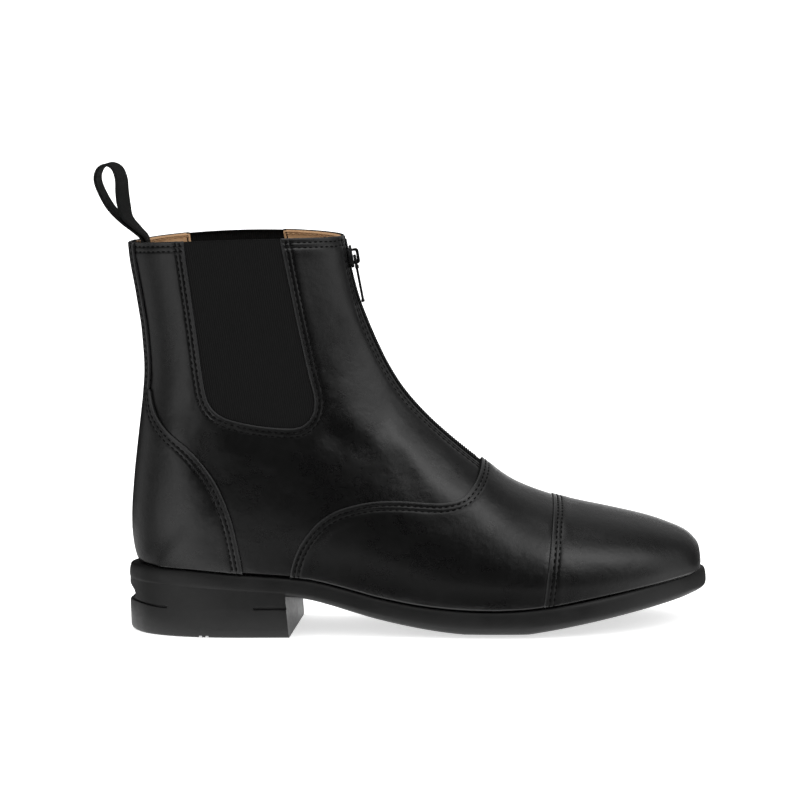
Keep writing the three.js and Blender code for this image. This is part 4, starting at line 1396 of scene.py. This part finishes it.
# Flat piece from a closed outline in its own frame, with rounded edges; hole is an outline of the same count
def flat_piece(name, outline_2d, thick_from, thick_to, to_world, bevel, hole=()):
    count = len(outline_2d)
    verts = [(a, b, level) for level in (thick_from, thick_to) for a, b in [*outline_2d, *hole]]
    layer = len(verts) // 2
    faces = []
    for k in range(count):
        n = (k + 1) % count
        faces.append((k, n, n + layer, k + layer))
        if hole:
            faces.append((count + n, count + k, count + k + layer, count + n + layer))
            faces.append((n, k, count + k, count + n))
            faces.append((k + layer, n + layer, count + n + layer, count + k + layer))
    if not hole:
        faces.append(tuple(range(count))[::-1])
        faces.append(tuple(range(layer, layer + count)))
    piece = mesh_object(name, to_world(np.array(verts, float)), faces, smooth=False, closed=True)
    return bevelled(piece, bevel)


# Slider's frame: across the boot, up along the zip, out of the boot
def slider_place(p):
    return seat + np.outer(p[:, 2], seat_out) + np.outer(p[:, 0], (0, 1, 0)) - np.outer(p[:, 1], seat_down)


half = slider_width / 2
long = slider_length / 2
slider_right = [
    (half * 0.62, -long), (half * 0.9, -long + 1.2), (half, -long + 3.2), (half, 0.8),
    (half * 0.86, long - 1.4), (half * 0.5, long - 0.1), (half * 0.2, long - 0.9),
]
slider_outline = slider_right + [(-a, b) for a, b in slider_right[::-1]]
slider_outline = slider_outline[-1:] + slider_outline[:-1]
slider = flat_piece("zip_slider_plate", slider_outline, 0.0, slider_plate, slider_place, 0.35)
flange_right = [
    (half * 0.82, -long + 1.6), (half, -long + 2.4), (half, long - 2.6), (half * 0.82, long - 1.6),
]
for side, label in ((-1, "left"), (1, "right")):
    flange = [(side * a, b) for a, b in flange_right]
    piece = flat_piece("zip_slider_flange_" + label, flange, -0.95, 0.3, slider_place, 0.2)
    dress(piece, body, "metal_black", metal)


# Bail's frame: out of the boot, up along the zip, across the boot
def bail_place(p):
    return seat + np.outer(p[:, 0], seat_out) - np.outer(p[:, 1], seat_down) + np.outer(p[:, 2], (0, 1, 0))


# Arch of the bail in side view, as points from one foot to the other; fuller moves its lower side out
def arch(reach, height, corner, low, fuller=0.0):
    turns = [math.radians(90 * k / 4) for k in range(5)]
    near = -reach - fuller + corner
    found = [(low, -reach - fuller)]
    found += [(height - corner + corner * math.sin(a), near - corner * math.cos(a)) for a in turns]
    found += [(height - corner + corner * math.cos(a), reach - corner + corner * math.sin(a)) for a in turns]
    return found + [(low, reach)]


bail_top = slider_plate + bail_room
bail_low = slider_plate * 0.4
outer_arch = arch(bail_span / 2 + bail_bar, bail_top + bail_bar + 0.3, 1.5, bail_low, 0.5)
inner_arch = arch(bail_span / 2, bail_top, 0.7, bail_low)
bail_outline = outer_arch + inner_arch[::-1]
bail_faces = []
bail_verts = [(a, b, level) for level in (-bail_width / 2, bail_width / 2) for a, b in bail_outline]
total = len(bail_outline)
for k in range(total):
    n = (k + 1) % total
    bail_faces.append((k, n, n + total, k + total))
for k in range(len(outer_arch) - 1):
    ring = (k, k + 1, total - 2 - k, total - 1 - k)
    bail_faces.append(ring[::-1])
    bail_faces.append(tuple(i + total for i in ring))
bail_points = bail_place(np.array(bail_verts, float))
bail = mesh_object("zip_bail", bail_points, bail_faces, smooth=False, closed=True)
dress(bevelled(bail, 0.28), body, "metal_black", metal)
dress(slider, body, "metal_black", metal, "zip_slider")

# Pull tab hanging from the bail: a ring at its top and a long slot down its middle
rest = ridge_frame(rest_row, coil_height + gap * 1.4 + pull_thickness / 2)[0]
pull_up = (pivot - rest) / np.linalg.norm(pivot - rest)
pull_out = np.array([pull_up[2], 0, -pull_up[0]])


# Pull's frame: across the boot, up along the pull, out of the boot
def pull_place(p):
    return pivot + np.outer(p[:, 0], (0, 1, 0)) + np.outer(p[:, 1], pull_up) + np.outer(p[:, 2], pull_out)


def slot_outline(width_top, width_low, top, low):
    turns = [math.pi * k / 8 for k in range(9)]
    found = [(width_top * math.cos(a), top - width_top * 0.55 * (1 - math.sin(a))) for a in turns]
    return found + [(-width_low * math.cos(a), low + width_low * 0.55 * (1 - math.sin(a))) for a in turns]


half = pull_width / 2
eye = bail_width / 2 + 0.55
eye_low = -(bail_span / 2 + bail_bar + 0.9)
ring_outer = slot_outline(half, half * 0.8, 0.6, eye_low - 1.6)
ring_inner = slot_outline(eye, eye, -0.6, eye_low)
tab_outer = slot_outline(half * 0.78, half * 0.9, eye_low + 0.2, -pull_length)
tab_inner = slot_outline(half * 0.36, half * 0.46, eye_low - 2.2, -pull_length + 2.0)
thick = pull_thickness / 2
shoulder_high = eye_low - 0.15
shoulder_low = eye_low - 1.9
shoulder = [(-2.1, shoulder_low), (2.1, shoulder_low), (2.3, shoulder_high), (-2.3, shoulder_high)]
foot = [(-1.9, -pull_length), (1.9, -pull_length), (2.1, 1.3 - pull_length), (-2.1, 1.3 - pull_length)]
for name, shape, back, front, bevel, hole, nodes in (
    ("zip_pull_ring", ring_outer, 1, 1, 0.3, ring_inner, ["zip_pull"]),
    ("zip_pull_tab", tab_outer, 0.9, 0.9, 0.3, tab_inner, []),
    ("zip_pull_shoulder", shoulder, 1.2, 1.7, 0.45, (), []),
    ("zip_pull_foot", foot, 1.4, 1.2, 0.35, (), []),
):
    piece = flat_piece(name, shape, -thick * back, thick * front, pull_place, bevel, hole)
    dress(piece, pull_body, "metal_black", metal, *nodes)

# Pull loop: flat woven tape
back_x = float(surface(np.array([len(sections) - 2.0]), np.array([0.0]))[0, 0]) + wall
collar_at_back = float(collar_z(back_x))
steps = np.linspace(0, len(loop_path) - 1, 181)
line_x = back_x + column(loop_path, 0, steps)
line_z = collar_at_back + column(loop_path, 1, steps) * loop_rise
line = np.stack([line_x, line_z], axis=1)
way = unit(np.gradient(line, axis=0))
twist = np.radians(column(loop_path, 2, steps))
line_far = distances_along(line)
across_share = np.array([-1, -0.97, -0.88, -0.7, -0.45, -0.15, 0.15, 0.45, 0.7, 0.88, 0.97, 1])
rings = []
for k in range(len(steps)):
    sides = []
    for sign, order in ((1, across_share), (-1, across_share[::-1])):
        y = order * loop_width / 2
        beaded = (np.abs(order) > 0.6) & (np.abs(order) < 0.95)
        lift = sign * loop_thickness / 2 * (1 - 0.55 * (np.abs(order) > 0.96) + 0.1 * beaded)
        x = line_x[k] - way[k, 1] * lift + y * math.sin(twist[k])
        z = line_z[k] + way[k, 0] * lift
        sides.append(np.column_stack([x, y * math.cos(twist[k]), z]))
    rings.append(np.vstack(sides))
along = np.repeat(line_far, 2 * len(across_share))
across = np.tile(np.concatenate([across_share, across_share[::-1]]) * loop_width / 2, len(steps))
loop = loft("pull_loop_tape", rings, {"along": along, "across": across})
dress(loop, body, "webbing_black", webbing, "pull_loop")

# Camera at the photograph's viewing angle
camera_data = bpy.data.cameras.new("camera")
camera_data.lens = 162.16
camera_data.sensor_width = 36
camera_data.clip_end = 50
camera = placed("camera", camera_data)
camera.matrix_world = (
    Matrix.Translation((0.0773, -1.75, 0.35))
    @ Matrix.Rotation(math.radians(90 - 7.75), 4, "X")
    @ Matrix.Rotation(math.radians(-0.7), 4, "Z")
)
bpy.context.scene.camera = camera

# Floor and studio light
work = bmesh.new()
bmesh.ops.create_grid(work, x_segments=24, y_segments=24, size=6)
floor_mesh = bpy.data.meshes.new("floor")
work.to_mesh(floor_mesh)
work.free()
floor = placed("floor", floor_mesh)
floor_look = Material("pale floor")
floor_look.set(Base_Color=(0.93, 0.93, 0.93, 1), Roughness=0.9, Specular_IOR_Level=0.1)
floor_look.set(Emission_Color=(1, 1, 1, 1), Emission_Strength=0.6)
floor_mesh.materials.append(floor_look.material)
floor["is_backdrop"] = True

world = bpy.data.worlds.new("studio")
bpy.context.scene.world = world
world.use_nodes = True
world.node_tree.nodes["Background"].inputs["Color"].default_value = (1, 1, 1, 1)
world.node_tree.nodes["Background"].inputs["Strength"].default_value = 1.25

# Dark studio walls that only reflections see, with an opening in their floor round the boot
walls_radius = 2.6
opening_middle = (0.01, 0.004)
opening_half = (0.165, 0.062)
work = bmesh.new()
bmesh.ops.create_uvsphere(work, u_segments=64, v_segments=32, radius=walls_radius)
bmesh.ops.delete(work, geom=[v for v in work.verts if v.co.z < -0.01], context="VERTS")
card = [bmesh.ops.create_circle(work, segments=64, radius=r)["verts"] for r in (1.0, walls_radius)]
for vert in card[0]:
    vert.co.x = opening_middle[0] + opening_half[0] * vert.co.x
    vert.co.y = opening_middle[1] + opening_half[1] * vert.co.y
for k in range(64):
    n = (k + 1) % 64
    work.faces.new((card[0][k], card[0][n], card[1][n], card[1][k]))
walls_mesh = bpy.data.meshes.new("studio_walls")
work.to_mesh(walls_mesh)
work.free()
walls = placed("studio_walls", walls_mesh)
walls.location = (0.07, 0, 0.002)
for rays in ("camera", "diffuse", "shadow", "transmission", "volume_scatter"):
    setattr(walls, "visible_" + rays, False)
walls_look = Material("studio walls")
glow = walls_look.add("ShaderNodeEmission")
towards = walls_look.vector_maths("NORMALIZE", walls_look.place)

# Soft panels seen in reflections: azimuth from the camera's side, elevation, narrowness, brightness
panels = [
    (-34, 9, 200, 1.5), (-58, -9, 36, 1.5), (-104, -10, 16, 0.5), (-46, 38, 80, 0.7), (35, 42, 32, 2.4),
    (54, 20, 26, 0.6), (76, 28, 20, 0.6), (78, -4, 22, 0.8), (0, 72, 20, 0.5), (0, 90, 10, 0.35),
    (150, 35, 6, 0.35), (166, -2, 60, 1.5),
]
total = 0.008  # glow of the walls between the panels
for azimuth, elevation, narrowness, brightness in panels:
    a, e = math.radians(azimuth), math.radians(elevation)
    middle = (math.sin(a) * math.cos(e), -math.cos(a) * math.cos(e), math.sin(e))
    facing = walls_look.maths("MAXIMUM", walls_look.vector_maths("DOT_PRODUCT", towards, middle), 0.0)
    lobe = walls_look.maths("MULTIPLY", walls_look.maths("POWER", facing, narrowness), brightness)
    total = walls_look.maths("ADD", lobe, total)

# Pale ring on the floor round the boot, fading outwards
squeezed = walls_look.vector_maths("MULTIPLY", walls_look.place, (0.45, 1, 1))
beyond = walls_look.ranged(walls_look.vector_maths("LENGTH", squeezed), 0.0, 0.5, 0.09, 0.2)
before = walls_look.ranged(walls_look.vector_maths("LENGTH", walls_look.place), 1.0, 0.0, 0.2, 0.42)
on_floor = walls_look.ranged(walls_look.parts()["Z"], 1.0, 0.0, 0.01, 0.02)
ring = walls_look.maths("MULTIPLY", on_floor, walls_look.maths("MULTIPLY", beyond, before))
walls_look.link(walls_look.maths("ADD", total, ring), glow.inputs["Strength"])
walls_look.link(glow.outputs["Emission"], walls_look.nodes["Material Output"].inputs["Surface"])
walls_mesh.materials.append(walls_look.material)
walls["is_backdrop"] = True


# Soft light of a given brightness as seen in a reflection
def soft_light(name, place, target, size, brightness):
    data = bpy.data.lights.new(name, "AREA")
    data.shape = "RECTANGLE"
    data.size, data.size_y = size
    data.energy = brightness * math.pi * size[0] * size[1]
    made = placed(name, data)
    made.location = place
    made.rotation_euler = (Vector(target) - Vector(place)).to_track_quat("-Z", "Y").to_euler()
    made.visible_camera = False
    return made


soft_light("overhead", (0.1, 0.05, 1.7), (0.08, 0, 0.05), (1.3, 0.8), 0.45)
soft_light("left", (-1.5, -1.1, 0.6), (0.0, 0, 0.1), (0.8, 1.2), 0.35)
soft_light("right", (1.1, -0.7, 1.2), (0.1, 0, 0.1), (0.8, 0.8), 0.5)

low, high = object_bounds()
bpy.context.scene.view_settings.view_transform = "Standard"
